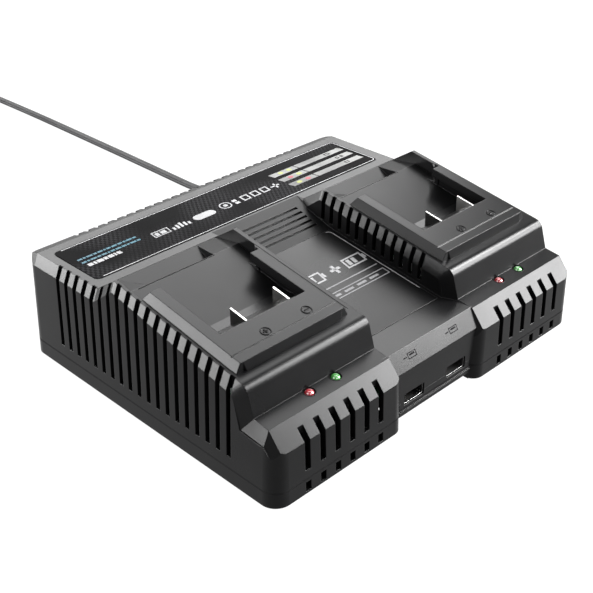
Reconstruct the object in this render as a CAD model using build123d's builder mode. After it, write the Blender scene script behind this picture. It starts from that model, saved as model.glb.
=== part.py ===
from build123d import *
import os
from math import atan2, cos, pi, radians, sin, sqrt, tan

# Dual battery charger. X is left to right, Y is front to back, Z is up, all in millimetres.
# The origin is the bottom centre of the case, on the surface that it stands on.

# Case
case_width = 209.2
case_depth = 175.4
wall = 2.4
foot_lift = 1.0
overlap = 1.0
least_radius = 0.5
parting_z = 8.4
block_pitch = 130.0
corner_foot_radius = 8.0
corner_top_radius = 6.0
inner_corner_radius = 6.0
side_draft = 0.049
inner_draft = 0.012
front_draft = 0.024
rear_draft = 0.03

# Profile of one block, front to back, distances measured from the front wall
shelf_setback = 8.0
shelf_z = 36.2
front_chamfer_slope = 1.22
shelf_depth = 8.5
shelf_rise = 1.2
hump_setback = 20.7
hump_z = 50.9
top_slope = 0.167
ridge_radius = 5.0
crease_setback = 119.0
plateau_z = 55.7
rear_ramp_run = 13.9
rear_ramp_radius = 1.5
plateau_margin = 8.2
rear_chamfer_slope = 0.33

# Bevel that runs along both top edges of a block
left_edge = 34.6
right_edge = 37.0
bevel_width = 2.9
bevel_drop = 6.5
hump_bevel = 5.0

# Battery bay, seen from the middle of its rails
rail_shift = -0.4
bay_left = 32.5
bay_right = 35.2
bay_front_setback = 30.7
rim_thickness = 1.7
collar_foot_z = 45.9
collar_lip = 2.6
lip_thickness = 1.8
fit_gap = 0.2
deck_thickness = 2.6
valley_z = 50.5
valley_front_setback = 59.0
valley_rear_setback = 65.5
deck_peak_setback = 101.9
deck_peak_z = 58.6
rail_rise = 4.4
rail_half_width = 32.3
rail_bevel = 2.3
rail_inner = 24.4
rail_web = 2.4
overhang = 4.4
rail_end_setback = 86.3
right_rail_step = 5.0
platform_front_setback = 28.2
platform_rear_setback = 46.2
seam_setback = 33.0
seam_width = 0.5
pocket_front_half = 19.8
pocket_rear_half = 23.6
pocket_floor_z = 51.8
rail_slope_setback = 2.0
rail_slope_run = 3.1
rail_foot_step = 1.6
platform_toe = 1.0
toe_corner_x = 2.6
toe_corner_y = 2.6
ledge_sink = 1.0
ledge_cut = 0.5
deck_skin = 1.2

# Terminals
terminal_left = 23.9
terminal_right = 20.5
terminal_top_z = 57.4
terminal_ramp_run = 9.9
terminal_back_rise = 0.33
terminal_toe = 0.6
blade_thickness = 0.9
blade_length = 10.1
blade_rear_z = 59.5
blade_front_z = 57.6
blade_root_z = 44.0
negative_blade_x = 17.4
positive_blade_x = -7.7
slot_gap = 0.15
sign_ring = 2.5
sign_height = 0.3
sign_bar = 0.7
sign_setback = 36.6
minus_sign_x = 15.6
plus_sign_x = -8.3

# Middle of the case
centre_width = 50.8
centre_front_setback = 3.6
centre_base_z = 4.5
centre_parting_z = 11.8
centre_chamfer_z = 27.9
centre_chamfer_run = 5.3
centre_top_z = 36.4
panel_front_setback = 24.3
panel_front_z = 36.9
panel_rear_setback = 96.2
panel_rear_z = 47.5
centre_ramp_setback = 124.0
panel_thickness = 1.2
panel_recess = 1.1
panel_margin = 2.0
groove_count = 5
groove_pitch = 3.58
groove_width = 1.5
groove_depth = 0.8
groove_first_setback = 102.3
lip_line_z = 6.7
lip_line_height = 0.7

# Ventilation slots
side_slots = 19
side_slot_pitch = 6.65
side_slot_width = 2.7
side_slot_setback = 28.2
side_slot_z = 14.3
front_slots = 6
front_slot_pitch = 8.87
front_slot_width = 3.2
front_slot_shift = 1.7
front_slot_depth = 4.9
front_slot_z = 12.8
lower_slot_z = 6.9
lower_slot_sill = 1.2
inner_slots = 12
inner_slot_pitch = 5.86
inner_slot_width = 2.4
inner_slot_setback = 38.0
inner_slot_rise = 2.0
left_slot_stop = 1.2
right_slot_stop = -0.4
rear_slots = 26
rear_slot_pitch = 5.86
rear_slot_width = 2.4
rear_slot_z = 26.0
rear_slot_depth = 4.6

# Lights
light_diameter = 4.4
light_gap = 0.5
light_setback = 14.3
red_light_x = -5.2
green_light_x = 10.4
light_proud = 0.7
light_dome = 1.6
light_length = 7.0
light_board_width = 30.0
light_board_depth = 8.0
light_board_thickness = 1.2
light_post_diameter = 4.5

# Label on the plateau
label_width = 190.0
label_depth = 35.9
label_setback = 6.4
label_thickness = 0.7
label_recess = 0.5
label_radius = 3.0
label_gap = 0.25

# USB sockets
usb_width = 13.7
usb_height = 6.1
usb_pitch = 29.8
usb_z = 12.75
usb_radius = 0.6
shell_gap = 0.2
shell_depth = 14.0
shell_wall = 0.35
shell_inset = 0.6
tongue_width = 11.0
tongue_thickness = 1.5
tongue_setback = 4.6
tongue_lift = 0.9
usb_board_width = 48.0
usb_board_depth = 20.0
usb_board_gap = 0.5
usb_post_inset = 4.0
usb_post_x = 18.0

# Boards and what stands on them
board_thickness = 1.6
main_board_width = 150.0
main_board_depth = 92.0
main_board_z = 9.6
main_board_y = 2.0
board_post_diameter = 7.0
board_screw_diameter = 3.0
board_screw_head = 5.6
board_screw_length = 6.0
board_screw_head_height = 2.0
board_cutout_gap = 0.5
board_hole_inset = 5.0
seat_gap = 0.1
transformer_width = 34.0
transformer_depth = 29.0
transformer_height = 26.0
transformer_leg = 8.0
core_depth = 12.0
winding_radius = 4.0
transformer_x = -38.0
transformer_y = 28.0
capacitor_diameter = 22.0
capacitor_height = 26.0
capacitor_x = 16.0
capacitor_pitch = 23.5
capacitor_y = 30.0
capacitor_fillet = 1.0
sink_length = 50.0
sink_height = 24.0
sink_depth = 12.0
sink_fins = 5
sink_base = 2.5
sink_fin = 1.2
sink_x = 46.0
sink_y = -22.0
choke_outer = 20.0
choke_inner = 9.0
choke_height = 10.0
choke_fillet = 1.5
choke_x = 61.0
choke_y = 32.0
fuse_diameter = 5.2
fuse_length = 20.0
fuse_clip_width = 5.0
fuse_clip_inset = 0.5
fuse_clip_wall = 1.0
fuse_lift = 2.0
fuse_y = 14.0

# Fan
fan_size = 40.0
fan_depth = 10.0
fan_bore = 37.6
fan_tip_gap = 0.6
fan_floor_gap = 0.1
fan_z = 7.0
fan_y = 66.0
fan_x = 0.0
fan_hub = 20.0
fan_blades = 7
fan_blade_thickness = 1.2
fan_blade_angle = 38.0
fan_blade_root = 2.0
fan_blade_trim = 1.0
fan_corner = 3.0
fan_strut_inset = 0.5
fan_motor = 18.0
fan_motor_depth = 2.2
fan_strut = 3.0
fan_spindle = 3.0
fan_running_gap = 0.4
spindle_gap = 0.08
spindle_inset = 2.0
fan_screw_diameter = 3.0
fan_screw_head = 5.4
fan_screw_inset = 4.0
fan_screw_head_height = 1.6

# Feet and case screws
foot_diameter = 13.0
foot_recess = 1.2
foot_gap = 0.15
foot_chamfer = 0.4
foot_x = 84.0
foot_y = 70.0
screw_post_diameter = 9.0
screw_diameter = 3.5
screw_head = 6.6
screw_head_height = 2.0
screw_head_recess = 2.6
screw_length = 18.0
screw_gap = 0.15
screw_places = [
    (-96.0, -70.0), (96.0, -70.0), (-94.0, 50.0), (94.0, 50.0), (0.0, -55.0), (0.0, 40.0),
]

# Mains cord and its plug
cord_diameter = 5.4
cord_exit_x = 70.0
cord_exit_z = 13.0
cord_boss_diameter = 15.0
relief_flange = 12.0
relief_flange_thickness = 2.0
relief_neck = 9.0
relief_root = 10.0
relief_tip = 7.0
relief_length = 26.0
relief_inside = 3.0
clamp_width = 20.0
clamp_depth = 8.0
clamp_height = 3.0
clamp_post = 6.0
clamp_setback = 4.0
run_share = 0.45
loop_gap = 1.6
layer_gap = 0.6
half_turns = 15
coil_mean_radius = 29.7
coil_centre_y = 492.0
cord_floor_x = 71.0
plug_width = 25.0
plug_length = 30.0
plug_relief = 14.0
plug_relief_root = 10.0
plug_relief_lip = 0.4
plug_corner = 5.0
pin_pitch = 12.7
pin_width = 6.3
pin_thickness = 1.5
pin_length = 17.5

front_y = -case_depth / 2
rear_y = case_depth / 2
block_width = case_width - block_pitch
block_centres = {"left": -block_pitch / 2, "right": block_pitch / 2}
beyond = 10.0
os.makedirs("parts", exist_ok=True)


def behind(setback):
    return front_y + setback


def side_z(y):
    return hump_z + top_slope * (y - behind(hump_setback))


def rail_z(y):
    return side_z(y) + rail_rise


def line_z(y, start, end):
    return start[1] + (end[1] - start[1]) * (y - start[0]) / (end[0] - start[0])


# Points of a closed outline moved inwards by one distance, the outline given clockwise
def inset_outline(points, distance):
    moved = []
    for index, point in enumerate(points):
        before = points[index - 1]
        after = points[(index + 1) % len(points)]
        first = Vector(point[0] - before[0], point[1] - before[1]).normalized()
        second = Vector(after[0] - point[0], after[1] - point[1]).normalized()
        normal = Vector(first.Y + second.Y, -first.X - second.X).normalized()
        half_cosine = sqrt((1 + first.dot(second)) / 2)
        reach = distance / half_cosine
        moved.append((point[0] + normal.X * reach, point[1] + normal.Y * reach))
    return moved


# Side view of a block: the crest is its middle part, the brow its two bevelled sides
shelf_y = behind(shelf_setback)
step_y = shelf_y + shelf_depth
hump_y = behind(hump_setback)
crease_y = behind(crease_setback)
ridge_y = crease_y - rear_ramp_run
plateau_rear_y = rear_y - plateau_margin
chamfer_foot_z = shelf_z - front_chamfer_slope * (shelf_y - front_y + beyond)
rear_foot_z = plateau_z - rear_chamfer_slope * (rear_y + beyond - plateau_rear_y)
step_z = shelf_z + shelf_rise

crest_outline = [
    (front_y - beyond, foot_lift),
    (front_y - beyond, chamfer_foot_z),
    (shelf_y, shelf_z),
    (step_y, step_z),
    (hump_y, hump_z),
    (ridge_y, side_z(ridge_y)),
    (crease_y, plateau_z),
    (plateau_rear_y, plateau_z),
    (rear_y + beyond, rear_foot_z),
    (rear_y + beyond, foot_lift),
]
brow_outline = [
    (front_y - beyond, foot_lift),
    (front_y - beyond, chamfer_foot_z - bevel_drop),
    (shelf_y, shelf_z - bevel_drop),
    (step_y + hump_bevel, step_z - bevel_drop),
    (hump_y + hump_bevel, hump_z - bevel_drop + top_slope * hump_bevel),
    (ridge_y, side_z(ridge_y) - bevel_drop),
    (crease_y, plateau_z - bevel_drop),
    (plateau_rear_y, plateau_z - bevel_drop),
    (rear_y + beyond, rear_foot_z - bevel_drop),
    (rear_y + beyond, foot_lift),
]
corner_radii = [0, 0, 0, 0, ridge_radius, rear_ramp_radius, 0, 0, 0, 0]

centre_front_y = behind(centre_front_setback)
centre_edge_y = centre_front_y + centre_chamfer_run
panel_front_y = behind(panel_front_setback)
panel_rear_y = behind(panel_rear_setback)
centre_ramp_y = behind(centre_ramp_setback)
centre_outline = [
    (centre_front_y, foot_lift),
    (centre_front_y, centre_chamfer_z),
    (centre_edge_y, centre_top_z),
    (panel_front_y, panel_front_z),
    (panel_rear_y, panel_rear_z),
    (centre_ramp_y, plateau_z),
    (plateau_rear_y, plateau_z),
    (rear_y + beyond, rear_foot_z),
    (rear_y + beyond, foot_lift),
]
link_outline = [
    (centre_ramp_y, foot_lift),
    (centre_ramp_y, plateau_z),
    (plateau_rear_y, plateau_z),
    (rear_y + beyond, rear_foot_z),
    (rear_y + beyond, foot_lift),
]
top_of_all = side_z(ridge_y) + rail_rise
slant = sqrt(1 + top_slope**2)


# Tapered solid over the plan of a stretch of the case between two X places
def plan_solid(left, right, left_slope, right_slope, radii, top_radii, inset):
    with BuildPart() as plan:
        for level, level_radii in ((foot_lift, radii), (top_of_all, top_radii)):
            rise = level - foot_lift
            inset_radii = [max(radius - inset, least_radius) for radius in level_radii]
            corners = [
                (left + inset + left_slope * rise, front_y + inset + front_draft * rise),
                (right - inset - right_slope * rise, front_y + inset + front_draft * rise),
                (right - inset - right_slope * rise, rear_y - inset - rear_draft * rise),
                (left + inset + left_slope * rise, rear_y - inset - rear_draft * rise),
            ]
            with BuildSketch(Plane.XY.offset(level)):
                with BuildLine():
                    FilletPolyline(*corners, radius=inset_radii, close=True)
                make_face()
        loft(ruled=True)
    return plan.part


# One block of the case, grown or hollowed by the inset
def block_form(side, inset):
    centre = block_centres[side]
    crest = inset_outline(crest_outline, inset)
    brow = inset_outline(brow_outline, inset)
    shift = inset * bevel_width / (bevel_width + bevel_drop) * 2
    sections = [
        (-block_width / 2 - beyond, brow),
        (-left_edge - bevel_width + shift, brow),
        (-left_edge + shift, crest),
        (right_edge - shift, crest),
        (right_edge + bevel_width - shift, brow),
        (block_width / 2 + beyond, brow),
    ]
    radii = [max(radius - inset, least_radius) if radius else 0 for radius in corner_radii]
    corners = [
        [outer, inner_corner_radius, inner_corner_radius, outer]
        for outer in (corner_foot_radius, corner_top_radius)
    ]
    if side == "right":
        corners = [[radii[1], radii[0], radii[3], radii[2]] for radii in corners]
    slopes = (side_draft, inner_draft)
    plan = plan_solid(centre - block_width / 2, centre + block_width / 2, *slopes, *corners, inset)
    with BuildPart() as form:
        for place, outline in sections:
            with BuildSketch(Plane.YZ.offset(centre + place)):
                with BuildLine():
                    FilletPolyline(*outline, radius=radii, close=True)
                make_face()
        loft(ruled=True)
        add(plan, mode=Mode.INTERSECT)
    return form.part


# The lower middle of the case and the plateau that joins the two blocks behind it
def middle_form(outline, half_width, inset):
    radii = [least_radius] * 4
    plan = plan_solid(-half_width - inset, half_width + inset, 0, 0, radii, radii, inset)
    with BuildPart() as form:
        with BuildSketch(Plane.YZ):
            with BuildLine():
                Polyline(*inset_outline(outline, inset), close=True)
            make_face()
        extrude(amount=half_width, both=True)
        add(plan, mode=Mode.INTERSECT)
    return form.part


def case_solid(inset):
    pieces = [block_form(side, inset) for side in block_centres]
    pieces.append(middle_form(centre_outline, centre_width / 2 + inner_corner_radius, inset))
    pieces.append(middle_form(link_outline, block_pitch / 2, inset))
    with BuildPart() as solid:
        for piece in pieces:
            add(piece)
    return solid.part


case_outside = case_solid(0)
case_inside = case_solid(wall)


def bay_x(side):
    return block_centres[side] + rail_shift


# Rectangle by its edges, for the sketch plane in use
def span(x0, x1, y0, y1, mode=Mode.ADD):
    with Locations(((x0 + x1) / 2, (y0 + y1) / 2)):
        Rectangle(x1 - x0, y1 - y0, mode=mode)


# Lower case: floor, low walls, posts and seats
platform_front_y = behind(platform_front_setback)
platform_rear_y = behind(platform_rear_setback)
bay_front_y = behind(bay_front_setback)
floor_z = foot_lift + wall
post_x = main_board_width / 2 - board_hole_inset
post_y = main_board_depth / 2 - board_hole_inset
board_posts = [(x, main_board_y + y) for x in (-post_x, post_x) for y in (-post_y, post_y)]
light_places = {"red": red_light_x, "green": green_light_x}
light_y = behind(light_setback)
light_top_z = line_z(light_y, (shelf_y, shelf_z), (step_y, step_z))
light_base_z = light_top_z - light_length
light_board_z = light_base_z - seat_gap - light_board_thickness
light_middle = (red_light_x + green_light_x) / 2
light_post_x = light_board_width / 2 - light_post_diameter / 2
feet_places = [(x, y) for x in (-foot_x, foot_x) for y in (-foot_y, foot_y)]
front_slot_places = [
    (index - (front_slots - 1) / 2) * front_slot_pitch + front_slot_shift for index in range(front_slots)
]
usb_places = {"left": -usb_pitch / 2, "right": usb_pitch / 2}
usb_board_top = usb_z - usb_height / 2 + shell_gap - seat_gap
usb_post_y = centre_front_y + wall + usb_board_depth - usb_post_inset
fan_seat = fan_z - fan_floor_gap
rear_inner_y = rear_y - wall - rear_draft * (cord_exit_z - foot_lift)
clamp_y = rear_inner_y - relief_inside - clamp_depth / 2 - clamp_setback

with BuildPart() as lower_case:
    add(case_outside)
    with BuildSketch(Plane.XY.offset(parting_z)):
        Rectangle(2 * case_width, 2 * case_depth)
    extrude(amount=top_of_all, mode=Mode.SUBTRACT)
    add(case_inside, mode=Mode.SUBTRACT)
    # Raised step under the middle, with its own floor
    with BuildSketch(Plane.XY.offset(centre_base_z)):
        span(-centre_width / 2, centre_width / 2, centre_front_y, panel_front_y)
    extrude(amount=wall)
    with BuildSketch(Plane.XY.offset(foot_lift)):
        span(-centre_width / 2, centre_width / 2, centre_front_y - beyond, panel_front_y - wall)
    extrude(amount=centre_base_z - foot_lift, mode=Mode.SUBTRACT)
    # Front wall of the middle, up to its own parting line
    with BuildSketch(Plane.XY.offset(centre_base_z)):
        span(-centre_width / 2 + fit_gap, centre_width / 2 - fit_gap, centre_front_y, centre_front_y + wall)
    extrude(amount=centre_parting_z - centre_base_z)
    with BuildSketch(Plane.XY.offset(lip_line_z)):
        span(-centre_width / 2, centre_width / 2, centre_front_y - lip_line_height, centre_front_y + wall)
    extrude(amount=lip_line_height)
    # Posts for the case screws, the boards and the fan
    with BuildSketch(Plane.XY.offset(foot_lift)):
        with Locations(*screw_places):
            Circle(screw_post_diameter / 2)
    extrude(amount=parting_z - foot_lift)
    with BuildSketch(Plane.XY.offset(floor_z - overlap)):
        with Locations(*board_posts):
            Circle(board_post_diameter / 2)
    extrude(amount=main_board_z - floor_z + overlap)
    with BuildSketch(Plane.XY.offset(floor_z - overlap)):
        for centre in block_centres.values():
            for side_x in (-light_post_x, light_post_x):
                with Locations((centre + rail_shift + light_middle + side_x, light_y)):
                    Circle(light_post_diameter / 2)
    extrude(amount=light_board_z - seat_gap - floor_z + overlap)
    with BuildSketch(Plane.XY.offset(floor_z - overlap)):
        with Locations((fan_x, fan_y)):
            Rectangle(fan_size, fan_depth)
    extrude(amount=fan_seat - floor_z + overlap)
    with BuildSketch(Plane.XY.offset(floor_z - overlap)):
        with Locations((-usb_post_x, usb_post_y), (usb_post_x, usb_post_y)):
            Circle(board_post_diameter / 2)
    extrude(amount=usb_board_top - board_thickness - seat_gap - floor_z + overlap)
    with BuildSketch(Plane.XY.offset(floor_z - overlap)):
        for side_x in (-1, 1):
            with Locations((cord_exit_x + side_x * (clamp_width - clamp_post) / 2, clamp_y)):
                Circle(clamp_post / 2)
    extrude(amount=cord_exit_z + cord_diameter / 2 - floor_z + overlap)
    # Holes from below for the screws and recesses for the feet
    with BuildSketch(Plane.XY.offset(foot_lift)):
        with Locations(*screw_places):
            Circle(screw_diameter / 2 + screw_gap)
    extrude(amount=parting_z, mode=Mode.SUBTRACT)
    with BuildSketch(Plane.XY.offset(foot_lift)):
        with Locations(*screw_places):
            Circle(screw_head / 2 + screw_gap)
    extrude(amount=screw_head_recess, mode=Mode.SUBTRACT)
    with BuildSketch(Plane.XY.offset(foot_lift)):
        with Locations(*feet_places):
            Circle(foot_diameter / 2 + foot_gap)
    extrude(amount=foot_recess, mode=Mode.SUBTRACT)
    with BuildSketch(Plane.XY.offset(main_board_z)):
        with Locations(*board_posts):
            Circle(board_screw_diameter / 2 + screw_gap)
    extrude(amount=-board_screw_length, mode=Mode.SUBTRACT)
    # Low front slots
    with BuildSketch(Plane.XY.offset(foot_lift + lower_slot_sill)):
        for centre in block_centres.values():
            for place in front_slot_places:
                with Locations((centre + place, front_y)):
                    Rectangle(front_slot_width, 2 * front_slot_depth)
    extrude(amount=lower_slot_z - foot_lift - lower_slot_sill, mode=Mode.SUBTRACT)
    # Lower half of both USB openings
    with BuildSketch(Plane.XZ.offset(-centre_front_y)):
        for place in usb_places.values():
            with Locations((place, usb_z)):
                RectangleRounded(usb_width, usb_height, usb_radius)
    extrude(amount=beyond, both=True, mode=Mode.SUBTRACT)
lower_case.part.label = "lower_case"
export_step(lower_case.part, "parts/lower_case.step")


# Walls of one battery bay that hang from the case top, with a lip that carries the cradle
def bay_collar(side):
    centre = bay_x(side)
    with BuildPart() as collar:
        with BuildSketch(Plane.XY.offset(collar_foot_z)):
            span(centre - bay_left - rim_thickness, centre + bay_right + rim_thickness,
                 bay_front_y - rim_thickness, crease_y + rim_thickness)
        extrude(amount=top_of_all - collar_foot_z)
        with BuildSketch(Plane.XY.offset(collar_foot_z)):
            span(centre - bay_left + collar_lip, centre + bay_right - collar_lip,
                 bay_front_y + collar_lip, crease_y - collar_lip)
        extrude(amount=lip_thickness, mode=Mode.SUBTRACT)
        with BuildSketch(Plane.XY.offset(collar_foot_z + lip_thickness)):
            span(centre - bay_left, centre + bay_right, bay_front_y, crease_y)
        extrude(amount=top_of_all, mode=Mode.SUBTRACT)
        add(case_outside, mode=Mode.INTERSECT)
    return collar.part


collars = [bay_collar(side) for side in block_centres]
with BuildPart() as screw_bosses:
    with BuildSketch(Plane.XY.offset(parting_z)):
        with Locations(*screw_places):
            Circle(screw_post_diameter / 2)
    extrude(amount=top_of_all)
    add(case_outside, mode=Mode.INTERSECT)

# Upper case: both blocks, the lower middle between them and the plateau behind
side_slot_places = [behind(side_slot_setback) + index * side_slot_pitch for index in range(side_slots)]
inner_slot_places = [behind(inner_slot_setback) + index * inner_slot_pitch for index in range(inner_slots)]
outer_slot_x = {"left": bay_x("left") - left_edge + left_slot_stop,
                "right": bay_x("right") + right_edge - right_slot_stop}
panel_slope = (panel_rear_z - panel_front_z) / (panel_rear_y - panel_front_y)
panel_angle = atan2(panel_rear_z - panel_front_z, panel_rear_y - panel_front_y)
ramp_start = (panel_rear_y, panel_rear_z)
ramp_end = (centre_ramp_y, plateau_z)


def panel_sketch_plane(setback_y, z):
    return Plane(origin=(0, setback_y, z), x_dir=(1, 0, 0), z_dir=(0, -sin(panel_angle), cos(panel_angle)))


panel_plane = panel_sketch_plane(panel_front_y, panel_front_z)
panel_length = (panel_rear_y - panel_front_y) / cos(panel_angle)

with BuildPart() as upper_case:
    add(case_outside)
    with BuildSketch(Plane.XY.offset(parting_z)):
        Rectangle(2 * case_width, 2 * case_depth)
    extrude(amount=-parting_z, mode=Mode.SUBTRACT)
    add(case_inside, mode=Mode.SUBTRACT)
    for collar in collars:
        add(collar)
    add(screw_bosses.part)
    # The bays, open from above
    for side in block_centres:
        centre = bay_x(side)
        with BuildSketch(Plane.XY.offset(collar_foot_z + lip_thickness)):
            span(centre - bay_left, centre + bay_right, bay_front_y, crease_y)
        extrude(amount=top_of_all, mode=Mode.SUBTRACT)
        with BuildSketch(Plane.XY.offset(collar_foot_z)):
            span(centre - bay_left + collar_lip, centre + bay_right - collar_lip,
                 bay_front_y + collar_lip, crease_y - collar_lip)
        extrude(amount=lip_thickness, mode=Mode.SUBTRACT)
    # Notch for the lower case's front wall in the middle
    with BuildSketch(Plane.XY.offset(parting_z)):
        span(-centre_width / 2, centre_width / 2, centre_front_y - overlap, centre_front_y + wall + fit_gap)
    extrude(amount=centre_parting_z - parting_z, mode=Mode.SUBTRACT)
    with BuildSketch(Plane.XZ.offset(-centre_front_y)):
        for place in usb_places.values():
            with Locations((place, usb_z)):
                RectangleRounded(usb_width, usb_height, usb_radius)
    extrude(amount=beyond, both=True, mode=Mode.SUBTRACT)
    # Outer side slots
    for side, stop in outer_slot_x.items():
        direction = -1 if side == "left" else 1
        with BuildSketch(Plane.XY.offset(side_slot_z)):
            for place in side_slot_places:
                with Locations((stop + direction * beyond, place)):
                    Rectangle(2 * beyond, side_slot_width)
        extrude(amount=top_of_all, mode=Mode.SUBTRACT)
    # Front slots through the wall and the foot of the chamfer
    with BuildSketch(Plane.XY.offset(front_slot_z)):
        for centre in block_centres.values():
            for place in front_slot_places:
                with Locations((centre + place, front_y)):
                    Rectangle(front_slot_width, 2 * front_slot_depth)
    extrude(amount=shelf_z - front_slot_z, mode=Mode.SUBTRACT)
    # Slots in the blocks' inner walls, down to the middle
    for direction, edge in ((1, bay_x("right") - left_edge + left_slot_stop),
                            (-1, bay_x("left") + right_edge - right_slot_stop)):
        for place in inner_slot_places:
            floor = panel_front_z + panel_slope * (place - panel_front_y) + inner_slot_rise
            with BuildSketch(Plane.XY.offset(floor)):
                with Locations((edge - direction * beyond / 2, place)):
                    Rectangle(beyond, inner_slot_width)
            extrude(amount=top_of_all, mode=Mode.SUBTRACT)
    # Rear slots through the wall and the rear edge of the plateau
    with BuildSketch(Plane.XY.offset(rear_slot_z)):
        for index in range(rear_slots):
            place = (index - (rear_slots - 1) / 2) * rear_slot_pitch
            with Locations((place, rear_y)):
                Rectangle(rear_slot_width, 2 * rear_slot_depth)
    extrude(amount=plateau_z, mode=Mode.SUBTRACT)
    # Seats of the centre panel and the label
    with BuildSketch(panel_plane):
        span(-centre_width / 2, centre_width / 2, 0, panel_length)
    extrude(amount=-panel_recess, mode=Mode.SUBTRACT)
    with BuildSketch(Plane.XY.offset(plateau_z)):
        with Locations((0, crease_y + label_setback + label_depth / 2)):
            RectangleRounded(label_width + 2 * label_gap, label_depth + 2 * label_gap, label_radius)
    extrude(amount=-label_recess, mode=Mode.SUBTRACT)
    # Grooves across the middle ramp
    ramp_angle = atan2(ramp_end[1] - ramp_start[1], ramp_end[0] - ramp_start[0])
    for index in range(groove_count):
        place = behind(groove_first_setback) + index * groove_pitch
        height = line_z(place, ramp_start, ramp_end)
        normal = (0, -sin(ramp_angle), cos(ramp_angle))
        with BuildSketch(Plane(origin=(0, place, height), x_dir=(1, 0, 0), z_dir=normal)):
            Rectangle(centre_width - 2 * panel_margin, groove_width)
        extrude(amount=-groove_depth, mode=Mode.SUBTRACT)
    # Light holes
    with BuildSketch(Plane.XY.offset(light_base_z)):
        for side in block_centres:
            for place in light_places.values():
                with Locations((bay_x(side) + place, light_y)):
                    Circle(light_diameter / 2 + light_gap)
    extrude(amount=light_length + beyond, mode=Mode.SUBTRACT)
    # Flat boss and hole for the cord
    with BuildSketch(Plane.XZ.offset(-rear_y)):
        with Locations((cord_exit_x, cord_exit_z)):
            Circle(cord_boss_diameter / 2)
        with Locations((cord_exit_x, parting_z - cord_boss_diameter)):
            Rectangle(2 * cord_boss_diameter, 2 * cord_boss_diameter, mode=Mode.SUBTRACT)
    extrude(amount=rear_y - rear_inner_y)
    with BuildSketch(Plane.XZ.offset(-rear_y)):
        with Locations((cord_exit_x, cord_exit_z)):
            Circle(relief_neck / 2 + fit_gap)
    extrude(amount=beyond, both=True, mode=Mode.SUBTRACT)
    # Pilot holes for the case screws
    with BuildSketch(Plane.XY.offset(parting_z)):
        with Locations(*screw_places):
            Circle(screw_diameter / 2 + screw_gap)
    extrude(amount=screw_length, mode=Mode.SUBTRACT)
upper_case.part.label = "upper_case"
export_step(upper_case.part, "parts/upper_case.step")


# Battery cradle: deck, two rails with overhangs, platform and latch pocket
valley_front_y = behind(valley_front_setback)
valley_rear_y = behind(valley_rear_setback)
peak_y = behind(deck_peak_setback)
rail_end_y = behind(rail_end_setback)
seam_y = behind(seam_setback)
deck_low_z = collar_foot_z + lip_thickness + fit_gap
cradle_rear_y = crease_y - fit_gap
cradle_front_y = bay_front_y + fit_gap


def deck_z(y):
    if y < valley_rear_y:
        return valley_z
    return line_z(y, (valley_rear_y, valley_z), (peak_y, deck_peak_z))


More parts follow.
